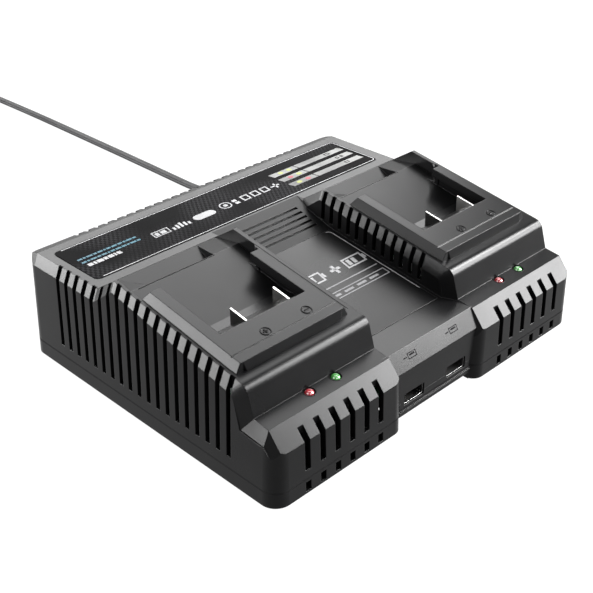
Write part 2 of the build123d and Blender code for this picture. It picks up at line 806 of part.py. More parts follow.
def make_cradle(side):
    centre = bay_x(side)
    left = centre - bay_left + fit_gap
    right = centre + bay_right - fit_gap
    with BuildPart() as cradle:
        # Deck from the valley over its rear peak to the crease
        with BuildSketch(Plane.YZ.offset(left)):
            with BuildLine():
                Polyline(
                    (cradle_front_y, deck_low_z), (cradle_front_y, valley_z), (valley_rear_y, valley_z),
                    (peak_y, deck_peak_z), (cradle_rear_y, plateau_z), (cradle_rear_y, pocket_floor_z),
                    (peak_y + deck_thickness, deck_low_z), close=True)
            make_face()
        extrude(amount=right - left)
        # Rails and platform share one slanted section
        with BuildSketch(Plane.XZ.offset(-platform_front_y)):
            with BuildLine():
                base = side_z(platform_front_y)
                top = rail_z(platform_front_y)
                Polyline(
                    (centre - rail_half_width, base), (centre - rail_half_width + rail_bevel, top),
                    (centre + rail_half_width - rail_bevel, top), (centre + rail_half_width, base),
                    close=True)
            make_face()
        extrude(amount=(platform_rear_y - platform_front_y) * slant, dir=(0, 1, top_slope))
        with BuildSketch(Plane.YZ.offset(centre - rail_half_width)):
            with BuildLine():
                Polyline(
                    (cradle_front_y, deck_low_z), (cradle_front_y, side_z(cradle_front_y)),
                    (platform_rear_y, side_z(platform_rear_y)), (platform_rear_y, deck_low_z), close=True)
            make_face()
        extrude(amount=2 * rail_half_width)
        toe_y = platform_front_y - platform_toe
        toe_half = rail_half_width - rail_bevel
        with BuildPart() as toe:
            with BuildSketch(Plane.YZ.offset(centre - toe_half)):
                with BuildLine():
                    Polyline(
                        (toe_y, side_z(toe_y)), (platform_front_y, rail_z(platform_front_y)),
                        (bay_front_y, rail_z(bay_front_y)), (bay_front_y, side_z(bay_front_y)),
                        close=True)
                make_face()
            extrude(amount=2 * toe_half)
            with BuildSketch(Plane.XY.offset(collar_foot_z)):
                for hand in (-1, 1):
                    outer = centre + hand * toe_half
                    with BuildLine():
                        Polyline(
                            (outer, toe_y), (outer - hand * toe_corner_x, toe_y),
                            (outer, toe_y + toe_corner_y), close=True)
                    make_face()
            extrude(amount=top_of_all - collar_foot_z, mode=Mode.SUBTRACT)
        add(toe.part)
        for hand in (-1, 1):
            outer = centre + hand * rail_half_width
            inner = centre + hand * rail_inner
            web = outer - hand * rail_web
            depth = rail_end_y - platform_rear_y
            depth += -right_rail_step if hand == 1 else rail_foot_step
            start = rail_z(platform_rear_y)
            with BuildSketch(Plane.XZ.offset(-platform_rear_y)):
                with BuildLine():
                    Polyline(
                        (outer, start - overhang - deck_peak_z + valley_z),
                        (outer, start - overhang), (outer - hand * rail_bevel, start), (inner, start),
                        (inner, start - overhang), (web, start - overhang),
                        (web, start - overhang - deck_peak_z + valley_z), close=True)
                make_face()
            extrude(amount=depth * slant, dir=(0, 1, top_slope))
        # Slope at the rear end of the left rail
        foot_y = rail_end_y + rail_foot_step
        with BuildSketch(Plane.YZ.offset(centre - rail_half_width - overlap)):
            with BuildLine():
                Polyline(
                    (foot_y - rail_slope_run, rail_z(foot_y - rail_slope_run)), (foot_y, side_z(foot_y)),
                    (foot_y + overlap, side_z(foot_y)), (foot_y + overlap, top_of_all),
                    (foot_y - rail_slope_run, top_of_all), close=True)
            make_face()
        extrude(amount=rail_half_width - rail_inner + 2 * overlap, mode=Mode.SUBTRACT)
        # Ledge beside the right rail, flush with the block's top, and the slanted end of that rail
        ledge_y = rail_end_y + right_rail_step
        with BuildSketch(Plane.YZ.offset(centre + rail_half_width)):
            with BuildLine():
                Polyline(
                    (cradle_front_y, deck_low_z), (cradle_front_y, side_z(cradle_front_y)),
                    (ledge_y, side_z(ledge_y)), (ledge_y, deck_z(ledge_y) - ledge_sink),
                    (valley_rear_y, deck_low_z), close=True)
            make_face()
        extrude(amount=right - centre - rail_half_width)
        step_start = rail_end_y - right_rail_step
        slope_start = step_start + rail_slope_setback
        corner_x = centre + rail_inner + right_rail_step
        with BuildSketch(Plane.XZ.offset(-step_start)):
            with BuildLine():
                outer = centre + rail_half_width
                start = rail_z(step_start)
                Polyline(
                    (outer, deck_z(step_start) - ledge_sink), (outer, start - overhang),
                    (outer - rail_bevel, start),
                    (corner_x, start), (corner_x, deck_z(step_start) - ledge_sink), close=True)
            make_face()
        extrude(amount=2 * right_rail_step * slant, dir=(0, 1, top_slope))
        with BuildSketch(Plane.XY.offset(top_of_all)):
            with BuildLine():
                Polyline(
                    (corner_x - overlap, slope_start), (corner_x, slope_start), (right + overlap, ledge_y),
                    (right + overlap, ledge_y + beyond), (corner_x - overlap, ledge_y + beyond), close=True)
            make_face()
        extrude(amount=deck_z(ledge_y) - ledge_cut - top_of_all, mode=Mode.SUBTRACT)
        with BuildSketch(Plane.YZ.offset(left)):
            with BuildLine():
                Polyline(
                    (step_start, deck_z(step_start) - deck_skin), (step_start, deck_z(step_start)),
                    (ledge_y + beyond, deck_z(ledge_y + beyond)),
                    (ledge_y + beyond, deck_z(ledge_y + beyond) - deck_skin), close=True)
            make_face()
        extrude(amount=right - left)
        # Hollow under the platform
        with BuildSketch(Plane.YZ.offset(centre - rail_half_width + deck_thickness)):
            with BuildLine():
                start = cradle_front_y + deck_thickness
                end = platform_rear_y - deck_thickness
                Polyline(
                    (start, deck_low_z), (start, rail_z(start) - deck_thickness),
                    (end, rail_z(end) - deck_thickness), (end, deck_low_z), close=True)
            make_face()
        extrude(amount=2 * (rail_half_width - deck_thickness), mode=Mode.SUBTRACT)
        # Latch pocket, wider at the back, with a sloping floor
        with BuildSketch(Plane.XY.offset(plateau_z + beyond)):
            with BuildLine():
                Polyline(
                    (centre - pocket_front_half, peak_y), (centre + pocket_front_half, peak_y),
                    (centre + pocket_rear_half, crease_y), (centre - pocket_rear_half, crease_y),
                    close=True)
            make_face()
        extrude(amount=-2 * beyond, mode=Mode.SUBTRACT)
        with BuildSketch(Plane.YZ.offset(centre - pocket_rear_half)):
            with BuildLine():
                Polyline(
                    (peak_y - overlap, deck_low_z), (peak_y - overlap, pocket_floor_z),
                    (peak_y, pocket_floor_z),
                    (cradle_rear_y, plateau_z), (cradle_rear_y, plateau_z - deck_thickness),
                    (peak_y + deck_thickness, deck_low_z), close=True)
            make_face()
        extrude(amount=2 * pocket_rear_half)
        # Thin seam across the platform
        with BuildSketch(Plane.YZ.offset(left)):
            with Locations((seam_y, rail_z(seam_y))):
                Rectangle(seam_width, 2 * seam_width, rotation=45)
        extrude(amount=right - left, mode=Mode.SUBTRACT)
        # Seams at the peak of the deck and in front of the valley
        for place, half in ((peak_y - seam_width, pocket_front_half), (valley_front_y, rail_inner)):
            with BuildSketch(Plane.YZ.offset(centre - rail_inner)):
                with Locations((place, deck_z(place))):
                    Rectangle(seam_width, 2 * seam_width)
            extrude(amount=rail_inner + half, mode=Mode.SUBTRACT)
        # Plus and minus signs in rings on the platform
        normal = Vector(0, -top_slope, 1).normalized()
        sign_y = behind(sign_setback)
        for place, upright in ((minus_sign_x, False), (plus_sign_x, True)):
            sign_origin = (centre + place, sign_y, rail_z(sign_y))
            sign_plane = Plane(origin=sign_origin, x_dir=(1, 0, 0), z_dir=normal)
            with BuildSketch(sign_plane):
                Circle(sign_ring)
                Circle(sign_ring - sign_bar / 2, mode=Mode.SUBTRACT)
                Rectangle(sign_ring, sign_bar)
                if upright:
                    Rectangle(sign_bar, sign_ring)
            extrude(amount=sign_height)
        # Slots for the blades
        with BuildSketch(Plane.XY.offset(valley_z)):
            for place in (negative_blade_x, positive_blade_x):
                with Locations((centre + place, valley_front_y - blade_length / 2)):
                    Rectangle(blade_thickness + 2 * slot_gap, blade_length + 2 * slot_gap)
        extrude(amount=-valley_z + collar_foot_z, mode=Mode.SUBTRACT)
        # Everything stays above the lip of the bay
        with BuildSketch(Plane.XY.offset(deck_low_z)):
            span(left - beyond, right + beyond, front_y, rear_y)
        extrude(amount=-beyond - collar_foot_z / 2, mode=Mode.SUBTRACT)
    return cradle.part


for side in block_centres:
    cradle_part = make_cradle(side)
    cradle_part.label = side + "_cradle"
    export_step(cradle_part, "parts/" + side + "_cradle.step")

# Terminal blocks: a wedge in each valley that the blades stand in
for side in block_centres:
    centre = bay_x(side)
    back_y = platform_rear_y + fit_gap
    ramp_y = valley_front_y - terminal_ramp_run
    with BuildPart() as terminal_block:
        with BuildSketch(Plane.YZ.offset(centre - terminal_left)):
            with BuildLine():
                Polyline(
                    (back_y, valley_z), (back_y, terminal_top_z + terminal_back_rise),
                    (ramp_y, terminal_top_z), (valley_front_y, valley_z + terminal_toe),
                    (valley_front_y, valley_z), close=True)
            make_face()
        extrude(amount=terminal_left + terminal_right)
        with BuildSketch(Plane.XY.offset(valley_z)):
            for place in (negative_blade_x, positive_blade_x):
                with Locations((centre + place, valley_front_y - blade_length / 2)):
                    Rectangle(blade_thickness + 2 * slot_gap, blade_length + 2 * slot_gap)
        extrude(amount=beyond, mode=Mode.SUBTRACT)
    terminal_block.part.label = side + "_terminal_block"
    export_step(terminal_block.part, "parts/" + side + "_terminal_block.step")
    for sign, place in (("negative", negative_blade_x), ("positive", positive_blade_x)):
        with BuildPart() as blade:
            with BuildSketch(Plane.YZ.offset(centre + place)):
                with BuildLine():
                    Polyline(
                        (valley_front_y - blade_length, blade_root_z),
                        (valley_front_y - blade_length, blade_front_z), (valley_front_y, blade_rear_z),
                        (valley_front_y, blade_root_z), close=True)
                make_face()
            extrude(amount=blade_thickness / 2, both=True)
        blade.part.label = side + "_" + sign + "_blade"
        export_step(blade.part, "parts/" + side + "_" + sign + "_blade.step")

# Lights: a round lens pushed through the shelf, over a small board
for side in block_centres:
    centre = bay_x(side)
    for colour, place in light_places.items():
        with BuildPart() as lens:
            with BuildSketch(Plane.XY.offset(light_base_z)):
                with Locations((centre + place, light_y)):
                    Circle(light_diameter / 2)
            extrude(amount=light_length + light_proud)
            fillet(lens.edges().group_by(Axis.Z)[-1], light_dome)
        lens.part.label = side + "_" + colour + "_light"
        export_step(lens.part, "parts/" + side + "_" + colour + "_light.step")
    with BuildPart() as light_board:
        with BuildSketch(Plane.XY.offset(light_board_z)):
            with Locations((centre + light_middle, light_y)):
                Rectangle(light_board_width, light_board_depth)
        extrude(amount=light_board_thickness)
    light_board.part.label = side + "_light_board"
    export_step(light_board.part, "parts/" + side + "_light_board.step")

# Plain panel between the blocks
with BuildPart() as centre_panel:
    with BuildSketch(panel_plane.offset(-panel_recess)):
        span(-centre_width / 2 + fit_gap, centre_width / 2 - fit_gap, fit_gap, panel_length - fit_gap)
    extrude(amount=panel_thickness)
centre_panel.part.label = "centre_panel"
export_step(centre_panel.part, "parts/centre_panel.step")

# Label on the plateau
with BuildPart() as label_plate:
    with BuildSketch(Plane.XY.offset(plateau_z - label_recess)):
        with Locations((0, crease_y + label_setback + label_depth / 2)):
            RectangleRounded(label_width, label_depth, label_radius)
    extrude(amount=label_thickness)
label_plate.part.label = "label_plate"
export_step(label_plate.part, "parts/label_plate.step")

# USB sockets and their board
shell_front_y = centre_front_y + shell_inset
shell_width = usb_width - 2 * shell_gap
shell_height = usb_height - 2 * shell_gap
for side, place in usb_places.items():
    with BuildPart() as usb_shell:
        with BuildSketch(Plane.XZ.offset(-shell_front_y)):
            with Locations((place, usb_z)):
                RectangleRounded(shell_width, shell_height, usb_radius)
                RectangleRounded(shell_width - 2 * shell_wall, shell_height - 2 * shell_wall,
                                 usb_radius - shell_wall / 2, mode=Mode.SUBTRACT)
        extrude(amount=-shell_depth)
        with BuildSketch(Plane.XZ.offset(-shell_front_y - shell_depth)):
            with Locations((place, usb_z)):
                RectangleRounded(shell_width, shell_height, usb_radius)
        extrude(amount=shell_wall)
    usb_shell.part.label = side + "_usb_shell"
    export_step(usb_shell.part, "parts/" + side + "_usb_shell.step")
    with BuildPart() as usb_tongue:
        with BuildSketch(Plane.XZ.offset(-shell_front_y - tongue_setback)):
            with Locations((place, usb_z + tongue_lift)):
                Rectangle(tongue_width, tongue_thickness)
        extrude(amount=-(shell_depth - tongue_setback - shell_wall - seat_gap))
    usb_tongue.part.label = side + "_usb_tongue"
    export_step(usb_tongue.part, "parts/" + side + "_usb_tongue.step")
usb_board_front = centre_front_y + wall + usb_board_gap
usb_board_back = usb_board_front + usb_board_depth
with BuildPart() as usb_board:
    with BuildSketch(Plane.XY.offset(usb_board_top - board_thickness)):
        span(-usb_board_width / 2, usb_board_width / 2, usb_board_front, usb_board_back)
    extrude(amount=board_thickness)
usb_board.part.label = "usb_board"
export_step(usb_board.part, "parts/usb_board.step")

# Main board
board_top = main_board_z + seat_gap + board_thickness
with BuildPart() as main_board:
    with BuildSketch(Plane.XY.offset(main_board_z + seat_gap)):
        with Locations((0, main_board_y)):
            Rectangle(main_board_width, main_board_depth)
        with Locations(*board_posts):
            Circle(board_screw_diameter / 2 + screw_gap, mode=Mode.SUBTRACT)
        for x, y in screw_places:
            if abs(y - main_board_y) < main_board_depth / 2 and abs(x) < main_board_width / 2:
                with Locations((x, y)):
                    Circle(screw_post_diameter / 2 + board_cutout_gap, mode=Mode.SUBTRACT)
    extrude(amount=board_thickness)
main_board.part.label = "main_board"
export_step(main_board.part, "parts/main_board.step")
parts_z = board_top + seat_gap

# Transformer: a closed core round its winding
transformer_top = parts_z + transformer_height
winding_low = parts_z + transformer_leg / 2
winding_high = transformer_top - transformer_leg / 2
winding_width = transformer_width - transformer_leg - 2 * fit_gap
with BuildPart() as transformer_core:
    with BuildSketch(Plane.XY.offset(parts_z)):
        with Locations((transformer_x, transformer_y)):
            Rectangle(transformer_width, core_depth)
    extrude(amount=transformer_height)
    with BuildSketch(Plane.XY.offset(winding_low)):
        with Locations((transformer_x, transformer_y)):
            Rectangle(transformer_width - transformer_leg, core_depth)
            Rectangle(transformer_leg, core_depth, mode=Mode.SUBTRACT)
    extrude(amount=winding_high - winding_low, mode=Mode.SUBTRACT)
transformer_core.part.label = "transformer_core"
export_step(transformer_core.part, "parts/transformer_core.step")
with BuildPart() as transformer_winding:
    with BuildSketch(Plane.XY.offset(winding_low + seat_gap)):
        with Locations((transformer_x, transformer_y)):
            RectangleRounded(winding_width, transformer_depth, winding_radius)
            Rectangle(transformer_leg + 2 * fit_gap, core_depth + 2 * fit_gap, mode=Mode.SUBTRACT)
    extrude(amount=winding_high - winding_low - 2 * seat_gap)
transformer_winding.part.label = "transformer_winding"
export_step(transformer_winding.part, "parts/transformer_winding.step")

# Mains capacitors
for name, index in (("first", 0), ("second", 1)):
    with BuildPart() as capacitor:
        with BuildSketch(Plane.XY.offset(parts_z)):
            with Locations((capacitor_x + index * capacitor_pitch, capacitor_y)):
                Circle(capacitor_diameter / 2)
        extrude(amount=capacitor_height)
        fillet(capacitor.edges().group_by(Axis.Z)[-1], capacitor_fillet)
    capacitor.part.label = name + "_capacitor"
    export_step(capacitor.part, "parts/" + name + "_capacitor.step")

# Finned heat sinks
for side, direction in (("left", -1), ("right", 1)):
    with BuildPart() as heat_sink:
        with BuildSketch(Plane.XY.offset(parts_z)):
            with Locations((direction * sink_x, sink_y - sink_depth / 2 + sink_base / 2)):
                Rectangle(sink_length, sink_base)
            for index in range(sink_fins):
                place = (index / (sink_fins - 1) - 0.5) * (sink_length - sink_fin)
                with Locations((direction * sink_x + place, sink_y)):
                    Rectangle(sink_fin, sink_depth)
        extrude(amount=sink_height)
    heat_sink.part.label = side + "_heat_sink"
    export_step(heat_sink.part, "parts/" + side + "_heat_sink.step")

# Choke and fuse
with BuildPart() as choke:
    with BuildSketch(Plane.XY.offset(parts_z)):
        with Locations((choke_x, choke_y)):
            Circle(choke_outer / 2)
            Circle(choke_inner / 2, mode=Mode.SUBTRACT)
    extrude(amount=choke_height)
    fillet(choke.edges(), choke_fillet)
choke.part.label = "choke"
export_step(choke.part, "parts/choke.step")
fuse_z = parts_z + fuse_diameter / 2 + fuse_lift
clip_x = fuse_length / 2 - fuse_clip_width / 2 - fuse_clip_inset
with BuildPart() as fuse:
    with BuildSketch(Plane.YZ.offset(choke_x - fuse_length / 2)):
        with Locations((fuse_y, fuse_z)):
            Circle(fuse_diameter / 2)
    extrude(amount=fuse_length)
fuse.part.label = "fuse"
export_step(fuse.part, "parts/fuse.step")
with BuildPart() as fuse_clips:
    for end in (-1, 1):
        with BuildSketch(Plane.YZ.offset(choke_x + end * clip_x)):
            with Locations((fuse_y, (parts_z + fuse_z) / 2)):
                Rectangle(fuse_diameter + 2 * fuse_clip_wall, fuse_z - parts_z)
            with Locations((fuse_y, fuse_z)):
                Circle(fuse_diameter / 2 + slot_gap, mode=Mode.SUBTRACT)
        extrude(amount=fuse_clip_width / 2, both=True)
fuse_clips.part.label = "fuse_clips"
export_step(fuse_clips.part, "parts/fuse_clips.step")

# Board screws
with BuildPart() as board_screws:
    with BuildSketch(Plane.XY.offset(board_top + seat_gap)):
        with Locations(*board_posts):
            Circle(board_screw_diameter / 2)
    extrude(amount=-board_screw_length + board_thickness)
    with BuildSketch(Plane.XY.offset(board_top + seat_gap)):
        with Locations(*board_posts):
            Circle(board_screw_head / 2)
    extrude(amount=board_screw_head_height)
board_screws.part.label = "board_screws"
export_step(board_screws.part, "parts/board_screws.step")

# Fan: a square frame with a motor base on struts, and a rotor on its spindle
fan_axis_z = fan_z + fan_size / 2
fan_front = fan_y - fan_depth / 2
fan_back = fan_y + fan_depth / 2
hub_back = fan_back - fan_motor_depth - fan_running_gap
hub_front = fan_front + fan_running_gap
blades_y = (hub_front + hub_back) / 2
hole_place = fan_size / 2 - fan_screw_inset
fan_holes = [
    (fan_x + sign_x * hole_place, fan_axis_z + sign_z * hole_place)
    for sign_x in (-1, 1)
    for sign_z in (-1, 1)
]
with BuildPart() as fan_frame:
    with BuildSketch(Plane.XZ.offset(-fan_front)):
        with Locations((fan_x, fan_axis_z)):
            RectangleRounded(fan_size, fan_size, fan_corner)
            Circle(fan_bore / 2, mode=Mode.SUBTRACT)
        with Locations(*fan_holes):
            Circle(fan_screw_diameter / 2 + screw_gap, mode=Mode.SUBTRACT)
    extrude(amount=-fan_depth)
    with BuildSketch(Plane.XZ.offset(-fan_back)):
        with Locations((fan_x, fan_axis_z)):
            Circle(fan_motor / 2)
            Rectangle(fan_size - 2 * fan_strut_inset, fan_strut)
            Rectangle(fan_strut, fan_size - 2 * fan_strut_inset)
    extrude(amount=fan_motor_depth)
    with BuildSketch(Plane.XZ.offset(-fan_back)):
        with Locations((fan_x, fan_axis_z)):
            Circle(fan_spindle / 2)
    extrude(amount=fan_depth - spindle_inset)
fan_frame.part.label = "fan_frame"
export_step(fan_frame.part, "parts/fan_frame.step")
with BuildPart() as fan_rotor:
    with BuildSketch(Plane.XZ.offset(-hub_front)):
        with Locations((fan_x, fan_axis_z)):
            Circle(fan_hub / 2)
    extrude(amount=-(hub_back - hub_front))
    tip = fan_bore / 2 - fan_tip_gap
    for index in range(fan_blades):
        angle = 360 / fan_blades * index
        blade_plane = Plane(origin=(fan_x, blades_y, fan_axis_z), x_dir=(1, 0, 0), z_dir=(0, 0, 1))
        blade_plane = blade_plane.rotated((0, angle, 0))
        with BuildSketch(blade_plane.offset(fan_hub / 2 - fan_blade_root)):
            Rectangle(fan_blade_thickness, hub_back - hub_front, rotation=fan_blade_angle)
        extrude(amount=tip - fan_hub / 2 + fan_blade_root - fan_blade_trim)
    with BuildSketch(Plane.XZ.offset(-fan_back)):
        with Locations((fan_x, fan_axis_z)):
            Circle(fan_size)
            Circle(tip, mode=Mode.SUBTRACT)
    extrude(amount=fan_depth, mode=Mode.SUBTRACT)
    with BuildSketch(Plane.XZ.offset(-hub_back)):
        with Locations((fan_x, fan_axis_z)):
            Circle(fan_spindle / 2 + spindle_gap)
    extrude(amount=fan_depth - spindle_inset - fan_motor_depth, mode=Mode.SUBTRACT)
fan_rotor.part.label = "fan_rotor"
export_step(fan_rotor.part, "parts/fan_rotor.step")
with BuildPart() as fan_screws:
    with BuildSketch(Plane.XZ.offset(-fan_front + seat_gap)):
        with Locations(*fan_holes):
            Circle(fan_screw_diameter / 2)
    extrude(amount=-fan_depth)
    with BuildSketch(Plane.XZ.offset(-fan_front + seat_gap)):
        with Locations(*fan_holes):
            Circle(fan_screw_head / 2)
    extrude(amount=fan_screw_head_height)
fan_screws.part.label = "fan_screws"
export_step(fan_screws.part, "parts/fan_screws.step")

# Rubber feet and case screws
for name, place in zip(("front_left", "rear_left", "front_right", "rear_right"), feet_places):
    with BuildPart() as foot:
        with BuildSketch(Plane.XY):
            with Locations(place):
                Circle(foot_diameter / 2)
        extrude(amount=foot_lift + foot_recess - seat_gap)
        chamfer(foot.edges().group_by(Axis.Z)[0], foot_chamfer)
    foot.part.label = name + "_foot"
    export_step(foot.part, "parts/" + name + "_foot.step")
screw_seat_z = foot_lift + screw_head_recess
with BuildPart() as case_screws:
    with BuildSketch(Plane.XY.offset(screw_seat_z - seat_gap)):
        with Locations(*screw_places):
            Circle(screw_head / 2)
    extrude(amount=-screw_head_height)
    with BuildSketch(Plane.XY.offset(screw_seat_z - seat_gap)):
        with Locations(*screw_places):
            Circle(screw_diameter / 2)
    extrude(amount=screw_length)
case_screws.part.label = "case_screws"
export_step(case_screws.part, "parts/case_screws.step")

# Strain relief in the rear wall and the clamp that holds the cord inside
relief_start_y = rear_inner_y - relief_inside
relief_end_y = rear_y + seat_gap + relief_length
with BuildPart() as strain_relief:
    with BuildSketch(Plane.XZ.offset(-relief_start_y)):
        with Locations((cord_exit_x, cord_exit_z)):
            Circle(relief_neck / 2)
    extrude(amount=-(rear_y + seat_gap - relief_start_y))
    with BuildSketch(Plane.XZ.offset(-rear_y - seat_gap)):
        with Locations((cord_exit_x, cord_exit_z)):
            Circle(relief_flange / 2)
    extrude(amount=-relief_flange_thickness)
    with BuildSketch(Plane.XZ.offset(-rear_y - seat_gap)):
        with Locations((cord_exit_x, cord_exit_z)):
            Circle(relief_root / 2)
    with BuildSketch(Plane.XZ.offset(-relief_end_y)):
        with Locations((cord_exit_x, cord_exit_z)):
            Circle(relief_tip / 2)
    loft()
strain_relief.part.label = "strain_relief"
export_step(strain_relief.part, "parts/strain_relief.step")
with BuildPart() as inner_lead:
    with BuildSketch(Plane.XZ.offset(-relief_start_y)):
        with Locations((cord_exit_x, cord_exit_z)):
            Circle(cord_diameter / 2)
    extrude(amount=relief_start_y - clamp_y + clamp_depth)
inner_lead.part.label = "inner_lead"
export_step(inner_lead.part, "parts/inner_lead.step")
clamp_z = cord_exit_z + cord_diameter / 2 + seat_gap
with BuildPart() as cord_clamp:
    with BuildSketch(Plane.XY.offset(clamp_z)):
        with Locations((cord_exit_x, clamp_y)):
            Rectangle(clamp_width, clamp_depth)
    extrude(amount=clamp_height)
cord_clamp.part.label = "cord_clamp"
export_step(cord_clamp.part, "parts/cord_clamp.step")

# Mains cord, from the strain relief down to the floor and back to its coil
cord_radius = cord_diameter / 2
loop_pitch = cord_diameter + loop_gap
layer_rise = cord_diameter + layer_gap
coil_outer = coil_mean_radius + loop_pitch * (half_turns // 2) / 4
coil_centre_x = cord_floor_x - coil_outer
coil_start = Vector(cord_floor_x, coil_centre_y - cord_diameter, cord_radius)
cord_points = [
    Vector(cord_exit_x, relief_end_y, cord_exit_z),
    Vector(cord_exit_x, 131.0, cord_exit_z),
    Vector(70.4, 148.0, 6.2),
    Vector(70.8, 167.0, 2.8),
    Vector(71.2, 200.0, cord_radius),
    Vector(71.0, 244.0, cord_radius),
    Vector(71.5, 300.0, cord_radius),
    Vector(72.6, 356.0, cord_radius),
    Vector(72.2, 404.0, cord_radius),
    Vector(cord_floor_x, 446.0, cord_radius),
    coil_start,
]


def corner_radius_at(before, here, after):
    first = here - before
    second = after - here
    half_turn = radians(first.get_angle(second)) / 2
    return run_share * min(first.length, second.length) / tan(half_turn)


cord_radii = [
    corner_radius_at(cord_points[index - 1], cord_points[index], cord_points[index + 1])
    for index in range(1, len(cord_points) - 1)
]
print("cord radii", [round(radius, 1) for radius in cord_radii])
with BuildPart() as mains_cord:
    with BuildLine() as cord_path:
        FilletPolyline(*cord_points, radius=cord_radii)
    with BuildSketch(Plane(cord_path.line @ 0, z_dir=cord_path.line % 0)):
        Circle(cord_radius)
    sweep(path=cord_path.line)
mains_cord.part.label = "mains_cord"
export_step(mains_cord.part, "parts/mains_cord.step")
cord_section = pi * cord_radius**2
cord_length = Wire(cord_path.edges()).length
cord_ratio = mains_cord.part.volume / (cord_section * cord_length)
print("cord length", round(cord_length, 1), "volume ratio", round(cord_ratio, 4))

# Coil: half turns that spiral in below, climb one layer in the middle one and spiral out above
def crossing(index):
    across = coil_outer - min(index, half_turns - index) * loop_pitch / 2
    hand = 1 if index % 2 == 0 else -1
    height = cord_radius if index < half_turns / 2 else cord_radius + layer_rise
    return Vector(coil_centre_x + hand * across, coil_centre_y, height)


with BuildPart() as cord_coil:
    with BuildLine() as coil_path:
        Line(coil_start, crossing(0))
        for index in range(half_turns):
            start = crossing(index)
            end = crossing(index + 1)
            heading = Vector(0, 1 if index % 2 == 0 else -1, 0)
            middle = (start + end) / 2 + heading * ((end - start).length / 2)
            TangentArc(start, middle, tangent=heading)
            TangentArc(middle, end, tangent=end - start)
        coil_end = crossing(half_turns)
        leaving = Vector(0, -1 if half_turns % 2 else 1, 0)
        Line(coil_end, coil_end + leaving * cord_diameter)
    with BuildSketch(Plane(coil_path.line @ 0, z_dir=coil_path.line % 0)):
        Circle(cord_radius)
    sweep(path=coil_path.line)
cord_coil.part.label = "cord_coil"
export_step(cord_coil.part, "parts/cord_coil.step")
coil_wire = Wire(coil_path.edges())
coil_ratio = cord_coil.part.volume / (cord_section * coil_wire.length)
print("coil length", round(coil_wire.length, 1), "volume ratio", round(coil_ratio, 4))
sample_count = int(coil_wire.length / 3)
samples = [coil_wire @ (index / sample_count) for index in range(sample_count + 1)]
apart = int(4 * cord_diameter * sample_count / coil_wire.length)
least = min((samples[first] - samples[second]).length
            for first in range(len(samples)) for second in range(first + apart, len(samples)))
print("coil least gap", round(least - cord_diameter, 3))

# Short lead from the coil's upper layer to the plug, turning away from the loops
lead_start = coil_end + leaving * cord_diameter
lead_points = [
    lead_start,
    lead_start + Vector(0, -14.0, 0),
    lead_start + Vector(-6.0, -30.0, 0),
    lead_start + Vector(-14.0, -44.0, 0),
]
lead_radii = [
    corner_radius_at(lead_points[index - 1], lead_points[index], lead_points[index + 1])
    for index in range(1, len(lead_points) - 1)
]
print("lead radii", [round(radius, 1) for radius in lead_radii])
with BuildPart() as plug_lead:
    with BuildLine() as lead_path:
        FilletPolyline(*lead_points, radius=lead_radii)
    with BuildSketch(Plane(lead_path.line @ 0, z_dir=lead_path.line % 0)):
        Circle(cord_radius)
    sweep(path=lead_path.line)
plug_lead.part.label = "plug_lead"
export_step(plug_lead.part, "parts/plug_lead.step")
lead_length = Wire(lead_path.edges()).length
lead_ratio = plug_lead.part.volume / (cord_section * lead_length)
print("lead length", round(lead_length, 1), "volume ratio", round(lead_ratio, 4))

# Plug at the end of the lead, lying on its side
plug_start = lead_points[-1]
plug_heading = (lead_points[-1] - lead_points[-2]).normalized()
plug_across = plug_heading.cross(Vector(0, 0, 1))
plug_height = 2 * plug_start.Z


def plug_plane(distance):
    return Plane(origin=plug_start + plug_heading * distance, x_dir=plug_across, z_dir=plug_heading)


with BuildPart() as plug_body:
    with BuildSketch(plug_plane(0)):
        Circle(cord_radius + plug_relief_lip)
    with BuildSketch(plug_plane(plug_relief)):
        Circle(plug_relief_root / 2)
    loft()
    with BuildSketch(plug_plane(plug_relief)):
        RectangleRounded(plug_width, plug_height, plug_corner)
    extrude(amount=plug_length)
plug_body.part.label = "plug_body"
export_step(plug_body.part, "parts/plug_body.step")
with BuildPart() as plug_pins:
    with BuildSketch(plug_plane(plug_relief + plug_length)):
        with GridLocations(pin_pitch, 1, 2, 1):
            Rectangle(pin_thickness, pin_width)
    extrude(amount=pin_length)
plug_pins.part.label = "plug_pins"
export_step(plug_pins.part, "parts/plug_pins.step")
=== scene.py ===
import math

import bpy
from mathutils import Matrix, Vector


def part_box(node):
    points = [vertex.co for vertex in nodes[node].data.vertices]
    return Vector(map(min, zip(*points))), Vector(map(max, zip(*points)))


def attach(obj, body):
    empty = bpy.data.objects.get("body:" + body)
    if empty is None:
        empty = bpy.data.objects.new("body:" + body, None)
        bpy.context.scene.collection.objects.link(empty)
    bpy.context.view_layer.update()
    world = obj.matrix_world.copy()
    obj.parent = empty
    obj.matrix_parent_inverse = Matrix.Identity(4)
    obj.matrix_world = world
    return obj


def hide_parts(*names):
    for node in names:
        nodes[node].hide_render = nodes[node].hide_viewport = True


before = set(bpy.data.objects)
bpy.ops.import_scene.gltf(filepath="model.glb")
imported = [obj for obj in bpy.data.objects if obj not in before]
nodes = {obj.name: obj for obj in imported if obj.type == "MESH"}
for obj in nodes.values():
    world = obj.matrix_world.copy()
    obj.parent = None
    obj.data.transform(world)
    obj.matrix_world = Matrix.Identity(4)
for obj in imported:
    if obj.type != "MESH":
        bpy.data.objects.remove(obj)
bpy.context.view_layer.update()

print("stage 1: frame loaded,", len(nodes), "nodes")

# camera, in metres, at the photograph's viewing angle
cameraSetup = {
    "place": (-0.32711, -0.33060, 0.29734),
    "look": (0.59985, 0.61746, -0.50884),
    "up": (0.36414, 0.35560, 0.86078),
    "lens": 65.59,
    "sensor": 36.0,
    "clipStart": 0.01,
}


